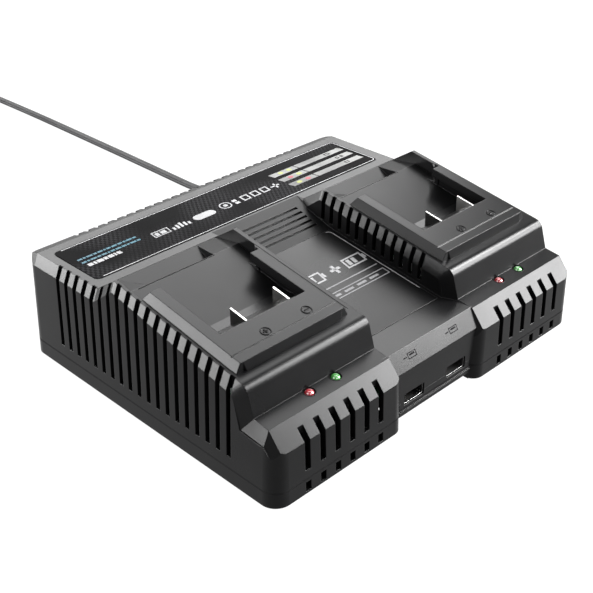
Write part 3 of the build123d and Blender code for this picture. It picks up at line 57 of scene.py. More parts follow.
def addCamera(setup):
    back = -Vector(setup["look"]).normalized()
    right = Vector(setup["up"]).cross(back).normalized()
    up = back.cross(right)
    bpy.ops.object.camera_add(location=setup["place"])
    camera = bpy.context.object
    camera.name = "studioCamera"
    turn = Matrix((right, up, back)).transposed()
    camera.rotation_euler = turn.to_euler()
    camera.data.lens = setup["lens"]
    camera.data.sensor_width = setup["sensor"]
    camera.data.clip_start = setup["clipStart"]
    bpy.context.scene.camera = camera


addCamera(cameraSetup)

# mains cord: the route's points, then the coil, then the lead to the plug
cordSetup = {
    "width": 0.0054,
    "coreRadius": 0.00165,
    "coreShift": 0.00105,
    "length": 1.78,
    "floorHeight": 0.0017,
    "layerHeight": 0.0052,
    "steps": 5,
    "order": 3,
    "corePoints": 10,
    "mergeGap": 0.00001,
    "smoothAngle": math.radians(50),
}
routePoints = [
    (0.0700, 0.1138, 0.0130),
    (0.0700, 0.1310, 0.0130),
    (0.0709, 0.1480, 0.0070),
    (0.0718, 0.1700, 0.0022),
    (0.0728, 0.2000, 0.0017),
    (0.0732, 0.2440, 0.0017),
    (0.0732, 0.3000, 0.0017),
    (0.0732, 0.3560, 0.0017),
    (0.0722, 0.4040, 0.0017),
    (0.0710, 0.4460, 0.0017),
    (0.0710, 0.4866, 0.0017),
]
leadPoints = [
    (-0.0129, 0.4866, 0.0056),
    (-0.0129, 0.4726, 0.0070),
    (-0.0189, 0.4566, 0.0087),
    (-0.0269, 0.4426, 0.0087),
]
coilSetup = {
    "centre": (0.02905, 0.4920),
    "outer": 0.04195,
    "shrink": 0.0035,
    "halfTurns": 15,
    "pointsPerHalf": 6,
    "cornerAllowance": 1.015,
}


def coilReach(index):
    return coilSetup["outer"] - min(index, coilSetup["halfTurns"] - index) * coilSetup["shrink"]


def coilHeight(index):
    low = index < coilSetup["halfTurns"] / 2
    return cordSetup["floorHeight"] if low else cordSetup["layerHeight"]


def coilPoints():
    points = []
    centreX, centreY = coilSetup["centre"]
    share = coilSetup["pointsPerHalf"]
    for half in range(coilSetup["halfTurns"]):
        hand = 1 if half % 2 == 0 else -1
        start = centreX + hand * coilReach(half)
        end = centreX - hand * coilReach(half + 1)
        radius = abs(end - start) / 2 * coilSetup["cornerAllowance"]
        low, high = coilHeight(half), coilHeight(half + 1)
        for step in range(share):
            angle = math.pi * step / share
            x = (start + end) / 2 + hand * radius * math.cos(angle)
            y = centreY + hand * radius * math.sin(angle)
            points.append((x, y, low + (high - low) * step / share))
    last = coilSetup["halfTurns"]
    points.append((centreX - coilReach(last), centreY, coilHeight(last)))
    return points


def nurbsRoute(name, points):
    data = bpy.data.curves.new(name, "CURVE")
    data.dimensions = "3D"
    data.resolution_u = cordSetup["steps"]
    spline = data.splines.new("NURBS")
    spline.points.add(len(points) - 1)
    for point, place in zip(spline.points, points):
        point.co = (*place, 1.0)
    spline.order_u = cordSetup["order"]
    spline.use_endpoint_u = True
    curve = bpy.data.objects.new(name, data)
    bpy.context.scene.collection.objects.link(curve)
    return curve


def meshOf(curve):
    bpy.context.view_layer.update()
    reader = bpy.context.evaluated_depsgraph_get()
    return bpy.data.meshes.new_from_object(curve.evaluated_get(reader))


# section of a flat two-core cord: two round cores with a shallow groove between them
def coreSection(name):
    data = bpy.data.curves.new(name, "CURVE")
    data.dimensions = "2D"
    spline = data.splines.new("POLY")
    radius, shift = cordSetup["coreRadius"], cordSetup["coreShift"]
    meet = math.acos(shift / radius)
    count = cordSetup["corePoints"]
    places = []
    for side in (1, -1):
        for step in range(count):
            angle = -math.pi + meet + (2 * math.pi - 2 * meet) * step / (count - 1)
            x = shift + radius * math.cos(angle)
            places.append((side * x, side * radius * math.sin(angle)))
    spline.points.add(len(places) - 1)
    for point, place in zip(spline.points, places):
        point.co = (*place, 0.0, 1.0)
    spline.use_cyclic_u = True
    section = bpy.data.objects.new(name, data)
    bpy.context.scene.collection.objects.link(section)
    return section


def selectOnly(piece):
    if bpy.context.object and bpy.context.object.mode != "OBJECT":
        bpy.ops.object.mode_set(mode="OBJECT")
    bpy.ops.object.select_all(action="DESELECT")
    bpy.context.view_layer.objects.active = piece
    piece.select_set(True)


def makeCord():
    curve = nurbsRoute("cordRoute", routePoints + coilPoints() + leadPoints)
    pathMesh = meshOf(curve)
    path = [tuple(vertex.co) for vertex in pathMesh.vertices]
    section = coreSection("cordSection")
    curve.data.bevel_mode = "OBJECT"
    curve.data.bevel_object = section
    curve.data.use_fill_caps = True
    curve.data.twist_mode = "Z_UP"
    cord = bpy.data.objects.new("flatCord", meshOf(curve))
    bpy.context.scene.collection.objects.link(cord)
    for helper in (curve, section):
        bpy.data.objects.remove(helper)
    bpy.data.meshes.remove(pathMesh)
    selectOnly(cord)
    bpy.ops.object.mode_set(mode="EDIT")
    bpy.ops.mesh.select_all(action="SELECT")
    bpy.ops.mesh.remove_doubles(threshold=cordSetup["mergeGap"])
    bpy.ops.mesh.normals_make_consistent(inside=False)
    bpy.ops.object.mode_set(mode="OBJECT")
    bpy.ops.object.shade_smooth_by_angle(angle=cordSetup["smoothAngle"])
    return cord, path


flatCord, cordPath = makeCord()
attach(flatCord, "charger")
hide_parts("mains_cord", "cord_coil", "plug_lead")
print("stage 2: cord laid,", len(cordPath), "points")


def noiseNodes(tree, scale, detail, coordinates):
    noise = tree.nodes.new("ShaderNodeTexNoise")
    noise.inputs["Scale"].default_value = scale
    noise.inputs["Detail"].default_value = detail
    tree.links.new(coordinates, noise.inputs["Vector"])
    return noise.outputs["Fac"]


def rangeNodes(tree, value, low, high, start=0.3, stop=0.7):
    spread = tree.nodes.new("ShaderNodeMapRange")
    spread.inputs["From Min"].default_value = start
    spread.inputs["From Max"].default_value = stop
    spread.inputs["To Min"].default_value = low
    spread.inputs["To Max"].default_value = high
    tree.links.new(value, spread.inputs["Value"])
    return spread.outputs["Result"]


def mixNodes(tree, factor, first, second):
    mixer = tree.nodes.new("ShaderNodeMix")
    mixer.data_type = "RGBA"
    mixer.inputs["A"].default_value = first
    mixer.inputs["B"].default_value = second
    tree.links.new(factor, mixer.inputs["Factor"])
    return mixer


# maths on sockets and plain numbers
def mathNodes(tree, operation, *values):
    node = tree.nodes.new("ShaderNodeMath")
    node.operation = operation
    for socket, value in zip(node.inputs, values):
        if isinstance(value, float):
            socket.default_value = value
        else:
            tree.links.new(value, socket)
    return node.outputs["Value"]


def objectPlace(tree):
    return tree.nodes.new("ShaderNodeTexCoord").outputs["Object"]


def placeAxes(tree):
    split = tree.nodes.new("ShaderNodeSeparateXYZ")
    tree.links.new(objectPlace(tree), split.inputs["Vector"])
    return split.outputs


# what a finish has unless it says otherwise
plainLook = {
    "toneScale": 60.0,
    "toneDetail": 3.0,
    "glossScale": 25.0,
    "glossDetail": 2.0,
    "grain": 0.15,
    "grainDepth": 0.00005,
    "grainScale": 2600.0,
    "grainDetail": 2.0,
    "metal": 0.0,
    "specular": 0.5,
    "edgeSamples": 6,
    "coatRoughness": 0.12,
}


# one finish: two close tones, uneven gloss and a fine grain
def makeFinish(name, ownLook):
    look = {**plainLook, **ownLook}
    material = bpy.data.materials.new(name)
    material.use_nodes = True
    tree = material.node_tree
    shader = tree.nodes["Principled BSDF"]
    coordinates = objectPlace(tree)
    tone = noiseNodes(tree, look["toneScale"], look["toneDetail"], coordinates)
    mixer = mixNodes(tree, rangeNodes(tree, tone, 0.0, 1.0), look["dark"], look["light"])
    tree.links.new(mixer.outputs["Result"], shader.inputs["Base Color"])
    gloss = noiseNodes(tree, look["glossScale"], look["glossDetail"], coordinates)
    low, high = look["roughness"]
    tree.links.new(rangeNodes(tree, gloss, low, high), shader.inputs["Roughness"])
    shader.inputs["Metallic"].default_value = look["metal"]
    shader.inputs["Specular IOR Level"].default_value = look["specular"]
    bump = tree.nodes.new("ShaderNodeBump")
    bump.inputs["Strength"].default_value = look["grain"]
    bump.inputs["Distance"].default_value = look["grainDepth"]
    grain = noiseNodes(tree, look["grainScale"], look["grainDetail"], coordinates)
    tree.links.new(grain, bump.inputs["Height"])
    tree.links.new(bump.outputs["Normal"], shader.inputs["Normal"])
    if look.get("edge"):
        edge = tree.nodes.new("ShaderNodeBevel")
        edge.samples = look["edgeSamples"]
        edge.inputs["Radius"].default_value = look["edge"]
        tree.links.new(edge.outputs["Normal"], bump.inputs["Normal"])
    if look.get("glow"):
        shader.inputs["Emission Color"].default_value = look["glow"]
        shader.inputs["Emission Strength"].default_value = look["glowStrength"]
    if look.get("coat"):
        shader.inputs["Coat Weight"].default_value = look["coat"]
        shader.inputs["Coat Roughness"].default_value = look["coatRoughness"]
    return material


blackPlastic = {
    "dark": (0.0010, 0.0010, 0.0011, 1.0),
    "light": (0.0017, 0.0017, 0.0018, 1.0),
    "specular": 0.09,
}
greyVinyl = {
    "dark": (0.0050, 0.0050, 0.0053, 1.0),
    "light": (0.0080, 0.0080, 0.0084, 1.0),
}
ink = {"roughness": (0.40, 0.52), "specular": 0.1, "grain": 0.05}
finishLooks = {
    "casePlastic": {
        **blackPlastic,
        "roughness": (0.27, 0.32),
        "edge": 0.0004,
    },
    "cradlePlastic": {
        **blackPlastic,
        "roughness": (0.28, 0.33),
        "edge": 0.0005,
    },
    "panelPlastic": {
        **blackPlastic,
        "roughness": (0.26, 0.31),
        "edge": 0.0004,
    },
    "terminalPlastic": {
        **blackPlastic,
        "roughness": (0.28, 0.33),
        "edge": 0.0003,
    },
    "bladeMetal": {
        "dark": (0.36, 0.355, 0.345, 1.0),
        "light": (0.46, 0.455, 0.445, 1.0),
        "roughness": (0.22, 0.34),
        "metal": 1.0,
        "edge": 0.0002,
        "grainScale": 5200.0,
    },
    "socketSteel": {
        "dark": (0.10, 0.10, 0.10, 1.0),
        "light": (0.15, 0.15, 0.15, 1.0),
        "roughness": (0.22, 0.32),
        "edge": 0.0002,
        "metal": 1.0,
    },
    "tonguePlastic": {
        "dark": (0.46, 0.46, 0.45, 1.0),
        "light": (0.56, 0.56, 0.55, 1.0),
        "roughness": (0.40, 0.50),
    },
    "redLens": {
        "dark": (0.075, 0.007, 0.009, 1.0),
        "light": (0.100, 0.010, 0.013, 1.0),
        "roughness": (0.10, 0.16),
        "glow": (0.80, 0.030, 0.035, 1.0),
        "glowStrength": 0.05,
        "coat": 0.6,
        "grain": 0.02,
    },
    "greenLens": {
        "dark": (0.014, 0.060, 0.013, 1.0),
        "light": (0.020, 0.085, 0.018, 1.0),
        "roughness": (0.10, 0.16),
        "glow": (0.040, 0.55, 0.060, 1.0),
        "glowStrength": 0.05,
        "coat": 0.6,
        "grain": 0.02,
    },
    "boardGreen": {
        "dark": (0.010, 0.085, 0.030, 1.0),
        "light": (0.016, 0.120, 0.042, 1.0),
        "roughness": (0.30, 0.45),
    },
    "coreSteel": {
        "dark": (0.16, 0.16, 0.17, 1.0),
        "light": (0.24, 0.24, 0.25, 1.0),
        "roughness": (0.40, 0.60),
        "metal": 1.0,
    },
    "windingTape": {
        "dark": (0.55, 0.36, 0.05, 1.0),
        "light": (0.70, 0.48, 0.09, 1.0),
        "roughness": (0.35, 0.50),
    },
    "capacitorSleeve": {
        "dark": (0.012, 0.030, 0.090, 1.0),
        "light": (0.020, 0.042, 0.120, 1.0),
        "roughness": (0.25, 0.35),
    },
    "sinkAluminium": {
        "dark": (0.52, 0.53, 0.54, 1.0),
        "light": (0.66, 0.67, 0.68, 1.0),
        "roughness": (0.35, 0.50),
        "metal": 1.0,
    },
    "ferriteBlack": {
        "dark": (0.020, 0.060, 0.030, 1.0),
        "light": (0.030, 0.085, 0.045, 1.0),
        "roughness": (0.40, 0.55),
    },
    "fuseGlass": {
        "dark": (0.60, 0.62, 0.62, 1.0),
        "light": (0.74, 0.76, 0.76, 1.0),
        "roughness": (0.06, 0.12),
        "coat": 0.8,
    },
    "clipBrass": {
        "dark": (0.60, 0.40, 0.13, 1.0),
        "light": (0.74, 0.53, 0.20, 1.0),
        "roughness": (0.24, 0.38),
        "metal": 1.0,
    },
    "screwSteel": {
        "dark": (0.36, 0.36, 0.37, 1.0),
        "light": (0.50, 0.50, 0.51, 1.0),
        "roughness": (0.28, 0.42),
        "metal": 1.0,
        "edge": 0.0002,
    },
    "fanPlastic": {
        "dark": (0.009, 0.009, 0.010, 1.0),
        "light": (0.014, 0.014, 0.015, 1.0),
        "roughness": (0.38, 0.50),
    },
    "footRubber": {
        "dark": (0.010, 0.010, 0.010, 1.0),
        "light": (0.020, 0.020, 0.020, 1.0),
        "roughness": (0.70, 0.88),
        "grain": 0.35,
        "grainScale": 1500.0,
    },
    "cordVinyl": {
        **greyVinyl,
        "roughness": (0.42, 0.52),
        "specular": 0.1,
        "grain": 0.10,
    },
    "plugVinyl": {
        **greyVinyl,
        "roughness": (0.40, 0.50),
        "specular": 0.12,
        "edge": 0.0006,
    },
    "whiteInk": {
        **ink,
        "dark": (0.085, 0.085, 0.087, 1.0),
        "light": (0.12, 0.12, 0.122, 1.0),
    },
    "paleInk": {
        **ink,
        "dark": (0.030, 0.030, 0.030, 1.0),
        "light": (0.082, 0.082, 0.080, 1.0),
        "toneScale": 40.0,
    },
    "greyInk": {
        **ink,
        "dark": (0.055, 0.055, 0.057, 1.0),
        "light": (0.080, 0.080, 0.082, 1.0),
    },
    "tealInk": {
        **ink,
        "dark": (0.006, 0.028, 0.040, 1.0),
        "light": (0.009, 0.040, 0.055, 1.0),
    },
    # pale silver: printed frame on the label, and painted highlight along the centre panel's
    # edge
    "silverInkAndHighlight": {
        **ink,
        "dark": (0.095, 0.095, 0.097, 1.0),
        "light": (0.13, 0.13, 0.132, 1.0),
        "roughness": (0.34, 0.42),
        "specular": 0.2,
    },
    "redInk": {
        **ink,
        "dark": (0.09, 0.014, 0.020, 1.0),
        "light": (0.12, 0.020, 0.026, 1.0),
        "roughness": (0.35, 0.45),
    },
    "darkInk": {
        **ink,
        "dark": (0.0030, 0.0030, 0.0032, 1.0),
        "light": (0.0045, 0.0045, 0.0048, 1.0),
        "roughness": (0.85, 0.95),
        "specular": 0.0,
    },
    "limeInk": {
        **ink,
        "dark": (0.080, 0.088, 0.022, 1.0),
        "light": (0.105, 0.112, 0.033, 1.0),
        "roughness": (0.35, 0.45),
    },
}
finishes = {name: makeFinish(name, look) for name, look in finishLooks.items()}


# makes a finish dull where the factor is one
def dullWhere(tree, factor, roughness):
    socket = tree.nodes["Principled BSDF"].inputs["Roughness"]
    dull = mathNodes(tree, "MULTIPLY", factor, roughness)
    tree.links.new(mathNodes(tree, "MAXIMUM", socket.links[0].from_socket, dull), socket)


# the raised signs on the cradles, above the slanted top of the rails, are darker and dull
signPaint = {
    "slope": 0.167,
    "start": 0.0666,
    "band": 0.0001,
    "colour": (0.0010, 0.0010, 0.0010, 1.0),
    "roughness": 0.9,
}


def paintSigns():
    tree = finishes["cradlePlastic"].node_tree
    axes = placeAxes(tree)
    height = mathNodes(tree, "MULTIPLY_ADD", axes["Y"], -signPaint["slope"], axes["Z"])
    start = signPaint["start"]
    raised = rangeNodes(tree, height, 0.0, 1.0, start, start + signPaint["band"])
    paint = mixNodes(tree, raised, signPaint["colour"], signPaint["colour"])
    socket = tree.nodes["Principled BSDF"].inputs["Base Color"]
    tree.links.new(socket.links[0].from_socket, paint.inputs["A"])
    tree.links.new(paint.outputs["Result"], socket)
    dullWhere(tree, raised, signPaint["roughness"])


paintSigns()

# the parting line between the two halves of the case is dull
partingBand = {"height": 0.0084, "reach": 0.0005, "roughness": 0.95}


def dullParting():
    tree = finishes["casePlastic"].node_tree
    height = placeAxes(tree)["Z"]
    near = mathNodes(tree, "COMPARE", height, partingBand["height"], partingBand["reach"])
    dullWhere(tree, near, partingBand["roughness"])


dullParting()

# label with a faint twill pattern that fades in and out along its length
labelLook = {
    "cell": 0.00125,
    "black": (0.0010, 0.0010, 0.0011, 1.0),
    "thread": (0.0062, 0.0062, 0.0066, 1.0),
    "offset": (0.0, 0.0, 0.0004),
    "stretch": (1.0, 0.62, 1.0),
    "fadeScale": 26.0,
    "fadeDetail": 1.0,
    "fadeEdges": (0.42, 0.58),
    "specular": 0.003,
    "roughness": (0.20, 0.28),
    "glossScale": 40.0,
    "glossDetail": 2.0,
}


def makeLabelFinish():
    material = bpy.data.materials.new("labelPrint")
    material.use_nodes = True
    tree = material.node_tree
    shader = tree.nodes["Principled BSDF"]
    coordinates = objectPlace(tree)
    checker = tree.nodes.new("ShaderNodeTexChecker")
    checker.inputs["Scale"].default_value = 1 / labelLook["cell"]
    turned = tree.nodes.new("ShaderNodeMapping")
    turned.inputs["Location"].default_value = labelLook["offset"]
    turned.inputs["Scale"].default_value = labelLook["stretch"]
    tree.links.new(coordinates, turned.inputs["Vector"])
    tree.links.new(turned.outputs["Vector"], checker.inputs["Vector"])
    cloud = noiseNodes(tree, labelLook["fadeScale"], labelLook["fadeDetail"], coordinates)
    fade = rangeNodes(tree, cloud, 0.0, 1.0, *labelLook["fadeEdges"])
    both = mathNodes(tree, "MULTIPLY", checker.outputs["Fac"], fade)
    weave = mixNodes(tree, both, labelLook["black"], labelLook["thread"])
    tree.links.new(weave.outputs["Result"], shader.inputs["Base Color"])
    gloss = noiseNodes(tree, labelLook["glossScale"], labelLook["glossDetail"], coordinates)
    low, high = labelLook["roughness"]
    tree.links.new(rangeNodes(tree, gloss, low, high), shader.inputs["Roughness"])
    shader.inputs["Specular IOR Level"].default_value = labelLook["specular"]
    return material


finishes["labelPrint"] = makeLabelFinish()

nodeFinishes = {
    "casePlastic": ["upper_case", "lower_case"],
    "cradlePlastic": ["left_cradle", "right_cradle"],
    "terminalPlastic": ["left_terminal_block", "right_terminal_block"],
    "bladeMetal": [
        "left_negative_blade",
        "left_positive_blade",
        "right_negative_blade",
        "right_positive_blade",
    ],
    "redLens": ["left_red_light", "right_red_light"],
    "greenLens": ["left_green_light", "right_green_light"],
    "panelPlastic": ["centre_panel"],
    "labelPrint": ["label_plate"],
    "socketSteel": ["left_usb_shell", "right_usb_shell"],
    "tonguePlastic": ["left_usb_tongue", "right_usb_tongue"],
    "boardGreen": ["main_board", "usb_board", "left_light_board", "right_light_board"],
    "coreSteel": ["transformer_core"],
    "windingTape": ["transformer_winding"],
    "capacitorSleeve": ["first_capacitor", "second_capacitor"],
    "sinkAluminium": ["left_heat_sink", "right_heat_sink"],
    "ferriteBlack": ["choke"],
    "fuseGlass": ["fuse"],
    "clipBrass": ["fuse_clips", "plug_pins"],
    "screwSteel": ["case_screws", "board_screws", "fan_screws"],
    "fanPlastic": ["fan_frame", "fan_rotor", "cord_clamp"],
    "footRubber": ["front_left_foot", "front_right_foot", "rear_left_foot", "rear_right_foot"],
    "cordVinyl": ["inner_lead"],
    "plugVinyl": ["plug_body", "strain_relief"],
}


def dress(piece, finish):
    if not piece.material_slots:
        piece.data.materials.append(finish)
    for slot in piece.material_slots:
        slot.material = finish


for finishName, names in nodeFinishes.items():
    for nodeName in names:
        dress(nodes[nodeName], finishes[finishName])
dress(flatCord, finishes["cordVinyl"])
print("stage 3: finishes given")

mm = 0.001
tileSetup = {"size": 1.0, "discVertices": 28, "cornerVertices": 32, "cornerReach": 0.01}


def addCircle(vertices, radius):
    bpy.ops.mesh.primitive_circle_add(
        vertices=vertices, radius=radius, fill_type="NGON", location=(0, 0, 0)
    )


# flat printed tiles: a bar or a disc at its place, skewed or made into a frame in edit mode
def addTile(shape, x, y, wide, deep, lean=0.0, line=0.0):
    if shape == "bar":
        bpy.ops.mesh.primitive_plane_add(size=tileSetup["size"], location=(0, 0, 0))
    else:
        addCircle(tileSetup["discVertices"], tileSetup["size"] / 2)
    tile = bpy.context.object
    selectOnly(tile)
    bpy.ops.object.mode_set(mode="EDIT")
    bpy.ops.mesh.select_all(action="SELECT")
    bpy.ops.transform.resize(value=(wide, deep, 1.0))
    if lean:
        bpy.ops.mesh.select_all(action="DESELECT")
        bpy.ops.object.mode_set(mode="OBJECT")
        for vertex in tile.data.vertices:
            vertex.select = vertex.co.y > 0
        bpy.ops.object.mode_set(mode="EDIT")
        bpy.ops.transform.translate(value=(lean, 0, 0))
        bpy.ops.mesh.select_all(action="SELECT")
    if line:
        bpy.ops.mesh.inset(thickness=line, depth=0.0)
        bpy.ops.mesh.delete(type="FACE")
        bpy.ops.mesh.select_all(action="SELECT")
    bpy.ops.transform.translate(value=(x, y, 0.0))
    bpy.ops.object.mode_set(mode="OBJECT")
    return tile


# tiles of one shape from rows of x, y, wide, deep, lean and line, in millimetres
def rowTiles(shape, rows):
    return [
        addTile(shape, x * mm, y * mm, wide * mm, deep * mm, lean * mm, line * mm)
        for x, y, wide, deep, lean, line in rows
    ]


def barTiles(rows):
    return rowTiles("bar", rows)


# quarter of a ring, turned to the front right or the rear right
def cornerTile(x, y, radius, line, way):
    addCircle(tileSetup["cornerVertices"], radius)
    tile = bpy.context.object
    selectOnly(tile)
    bpy.ops.object.mode_set(mode="EDIT")
    bpy.ops.mesh.select_all(action="SELECT")
    bpy.ops.mesh.inset(thickness=line, depth=0.0)
    bpy.ops.mesh.delete(type="FACE")
    bpy.ops.mesh.select_all(action="DESELECT")
    bpy.ops.object.mode_set(mode="OBJECT")
    edge = -radius * tileSetup["cornerReach"]
    for vertex in tile.data.vertices:
        vertex.select = vertex.co.x < edge or vertex.co.y * way < edge
    bpy.ops.object.mode_set(mode="EDIT")
    bpy.ops.mesh.delete(type="VERT")
    bpy.ops.mesh.select_all(action="SELECT")
    bpy.ops.transform.translate(value=(x, y, 0.0))
    bpy.ops.object.mode_set(mode="OBJECT")
    return tile


# joins tiles into one thin print and lays it on its surface
def layPrint(name, tiles, finish, thickness, place, tilt=0.0):
    bpy.ops.object.select_all(action="DESELECT")
    for tile in tiles:
        tile.select_set(True)
    bpy.context.view_layer.objects.active = tiles[0]
    if len(tiles) > 1:
        bpy.ops.object.join()
    piece = bpy.context.object
    piece.name = name
    piece.data.name = name
    solid = piece.modifiers.new("thickness", "SOLIDIFY")
    solid.thickness = thickness
    solid.offset = 1.0
    selectOnly(piece)
    bpy.ops.object.modifier_apply(modifier=solid.name)
    piece.location = place
    piece.rotation_euler = (tilt, 0.0, 0.0)
    bpy.ops.object.transform_apply(location=True, rotation=True, scale=True)
    bpy.ops.object.mode_set(mode="EDIT")
    bpy.ops.mesh.select_all(action="SELECT")
    bpy.ops.mesh.normals_make_consistent(inside=False)
    bpy.ops.object.mode_set(mode="OBJECT")
    dress(piece, finishes[finish])
    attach(piece, "charger")


# prints on the label, laid out in millimetres on its top face
labelPrints = {
    "top": 0.0559,
    "thickness": 0.00006,
    "edgeLine": 0.4,
    "corner": 2.6,
    "frame": {"left": -91.0, "right": 94.4, "front": 38.3, "rear": 73.0},
    "tealRows": [(59.0, -91.0, -55.0), (55.4, -91.0, -57.0)],
    "tealHeight": 1.4,
    "whiteRow": (51.6, -90.0, -68.0),
    "whiteHeight": 2.6,
    "dashes": [2.6, 1.3, 3.4, 1.9, 2.9, 1.1, 2.3, 3.1],
    "dashGap": 0.55,
}


def dashRow(y, left, right, height):
    dashes = labelPrints["dashes"]
    rows = []
    x = left
    while True:
        wide = dashes[len(rows) % len(dashes)]
        if x + wide > right:
            return barTiles(rows)
        rows.append((x + wide / 2, y, wide, height, 0.0, 0.0))
        x += wide + labelPrints["dashGap"]


def layOnLabel(name, tiles, finish, layer=0):
    thickness = labelPrints["thickness"]
    place = (0.0, 0.0, labelPrints["top"] + layer * thickness)
    layPrint(name, tiles, finish, thickness, place)


# pale line along the label's front, right and rear edges
def makeLabelFrame():
    box = labelPrints["frame"]
    line = labelPrints["edgeLine"]
    left, right, front, rear = (box[edge] for edge in ("left", "right", "front", "rear"))
    corner = labelPrints["corner"]
    middle, wide = (left + right - corner) / 2, right - corner - left
    across, deep = (front + rear) / 2, rear - front - 2 * corner
    tiles = barTiles([
        (middle, front + line / 2, wide, line, 0.0, 0.0),
        (middle, rear - line / 2, wide, line, 0.0, 0.0),
        (right - line / 2, across, line, deep, 0.0, 0.0),
    ])
    for y, way in ((front + corner, -1), (rear - corner, 1)):
        tiles.append(cornerTile((right - corner) * mm, y * mm, corner * mm, line * mm, way))
    layOnLabel("labelFrame", tiles, "silverInkAndHighlight")


makeLabelFrame()
tealTiles = []
for row in labelPrints["tealRows"]:
    tealTiles += dashRow(*row, labelPrints["tealHeight"])
layOnLabel("labelTealMarks", tealTiles, "tealInk")

# plain symbols along the middle of the label: a cell, level bars, a plate, a ring, blocks
# and a plus, as rows of x, y, wide, deep, lean, line
symbolBars = [
    (-46.0, 53.6, 10.0, 5.4, 0.8, 0.55),
    (-48.4, 53.4, 2.2, 3.0, 0.4, 0.0),
    (-44.6, 53.4, 3.2, 3.0, 0.4, 0.0),
    (-38.6, 52.2, 1.4, 2.6, 0.4, 0.0),
    (-36.2, 52.8, 1.4, 3.8, 0.6, 0.0),
    (-33.8, 53.4, 1.4, 5.0, 0.8, 0.0),
    (-31.4, 52.8, 1.4, 3.8, 0.6, 0.0),
    (-29.0, 52.2, 1.4, 2.6, 0.4, 0.0),
    (9.6, 53.6, 5.0, 5.6, 0.8, 0.9),
    (16.4, 53.6, 5.0, 5.6, 0.8, 0.9),
    (23.2, 53.6, 5.0, 5.6, 0.8, 0.9),
    (3.0, 54.8, 2.6, 2.2, 0.3, 0.0),
    (3.0, 51.8, 2.6, 2.2, 0.3, 0.0),
    (30.6, 53.0, 6.0, 1.1, 0.2, 0.0),
    (30.6, 53.0, 1.1, 5.2, 0.8, 0.0),
]
symbolDiscs = [(-3.6, 53.8, 7.0, 7.0, 0.0, 0.7), (-3.6, 53.8, 2.6, 2.6, 0.0, 0.0)]
symbolPlate = {"x": -18.2, "y": 53.2, "wide": 13.6, "deep": 5.4, "corner": 2.6, "steps": 6}


def roundedPlate(plate):
    tile = addTile("bar", 0.0, 0.0, plate["wide"] * mm, plate["deep"] * mm)
    selectOnly(tile)
    bpy.ops.object.mode_set(mode="EDIT")
    bpy.ops.mesh.select_all(action="SELECT")
    bpy.ops.mesh.bevel(offset=plate["corner"] * mm, segments=plate["steps"], affect="VERTICES")
    bpy.ops.mesh.select_all(action="SELECT")
    bpy.ops.transform.translate(value=(plate["x"] * mm, plate["y"] * mm, 0.0))
    bpy.ops.object.mode_set(mode="OBJECT")
    return tile


symbolTiles = dashRow(*labelPrints["whiteRow"], labelPrints["whiteHeight"])
symbolTiles += barTiles(symbolBars) + rowTiles("disc", symbolDiscs)
symbolTiles.append(roundedPlate(symbolPlate))
layOnLabel("labelWhiteMarks", symbolTiles, "whiteInk")

# three pale rows with small coloured marks at the label's right end
legend = {
    "rows": [62.6, 55.0, 47.2],
    "height": 4.3,
    "left": 37.6,
    "split": 56.0,
    "gap": 0.7,
    "right": 91.6,
    "lean": 0.9,
    "limeMarks": [(44.0, 62.6), (50.2, 62.6), (50.6, 55.0), (43.4, 47.2)],
    "redMarks": [(44.2, 55.0), (49.8, 47.2)],
    # x, y, wide
    "darkMarks": [(80.0, 62.6, 3.6), (80.6, 55.0, 2.0), (84.0, 55.0, 1.6), (80.4, 47.2, 3.0)],
    "darkHeight": 2.2,
    "darkLine": 0.45,
    "mark": (3.4, 2.6),
}


def legendBars():
    halfGap = legend["gap"] / 2
    spans = (
        (legend["left"], legend["split"] - halfGap),
        (legend["split"] + halfGap, legend["right"]),
    )
    return [
        ((left + right) / 2, y, right - left, legend["height"], -legend["lean"], 0.0)
        for y in legend["rows"]
        for left, right in spans
    ]


def markDiscs(marks):
    return rowTiles("disc", [(x, y, *legend["mark"], 0.0, 0.0) for x, y in marks])


layOnLabel("legendRows", barTiles(legendBars()), "paleInk")
layOnLabel("legendLimeMarks", markDiscs(legend["limeMarks"]), "limeInk", 1)
layOnLabel("legendRedMarks", markDiscs(legend["redMarks"]), "redInk", 1)
darkBars = [
    (x, y, wide, legend["darkHeight"], 0.0, legend["darkLine"])
    for x, y, wide in legend["darkMarks"]
]
layOnLabel("legendDarkMarks", barTiles(darkBars), "darkInk", 1)
print("stage 4: label printed")
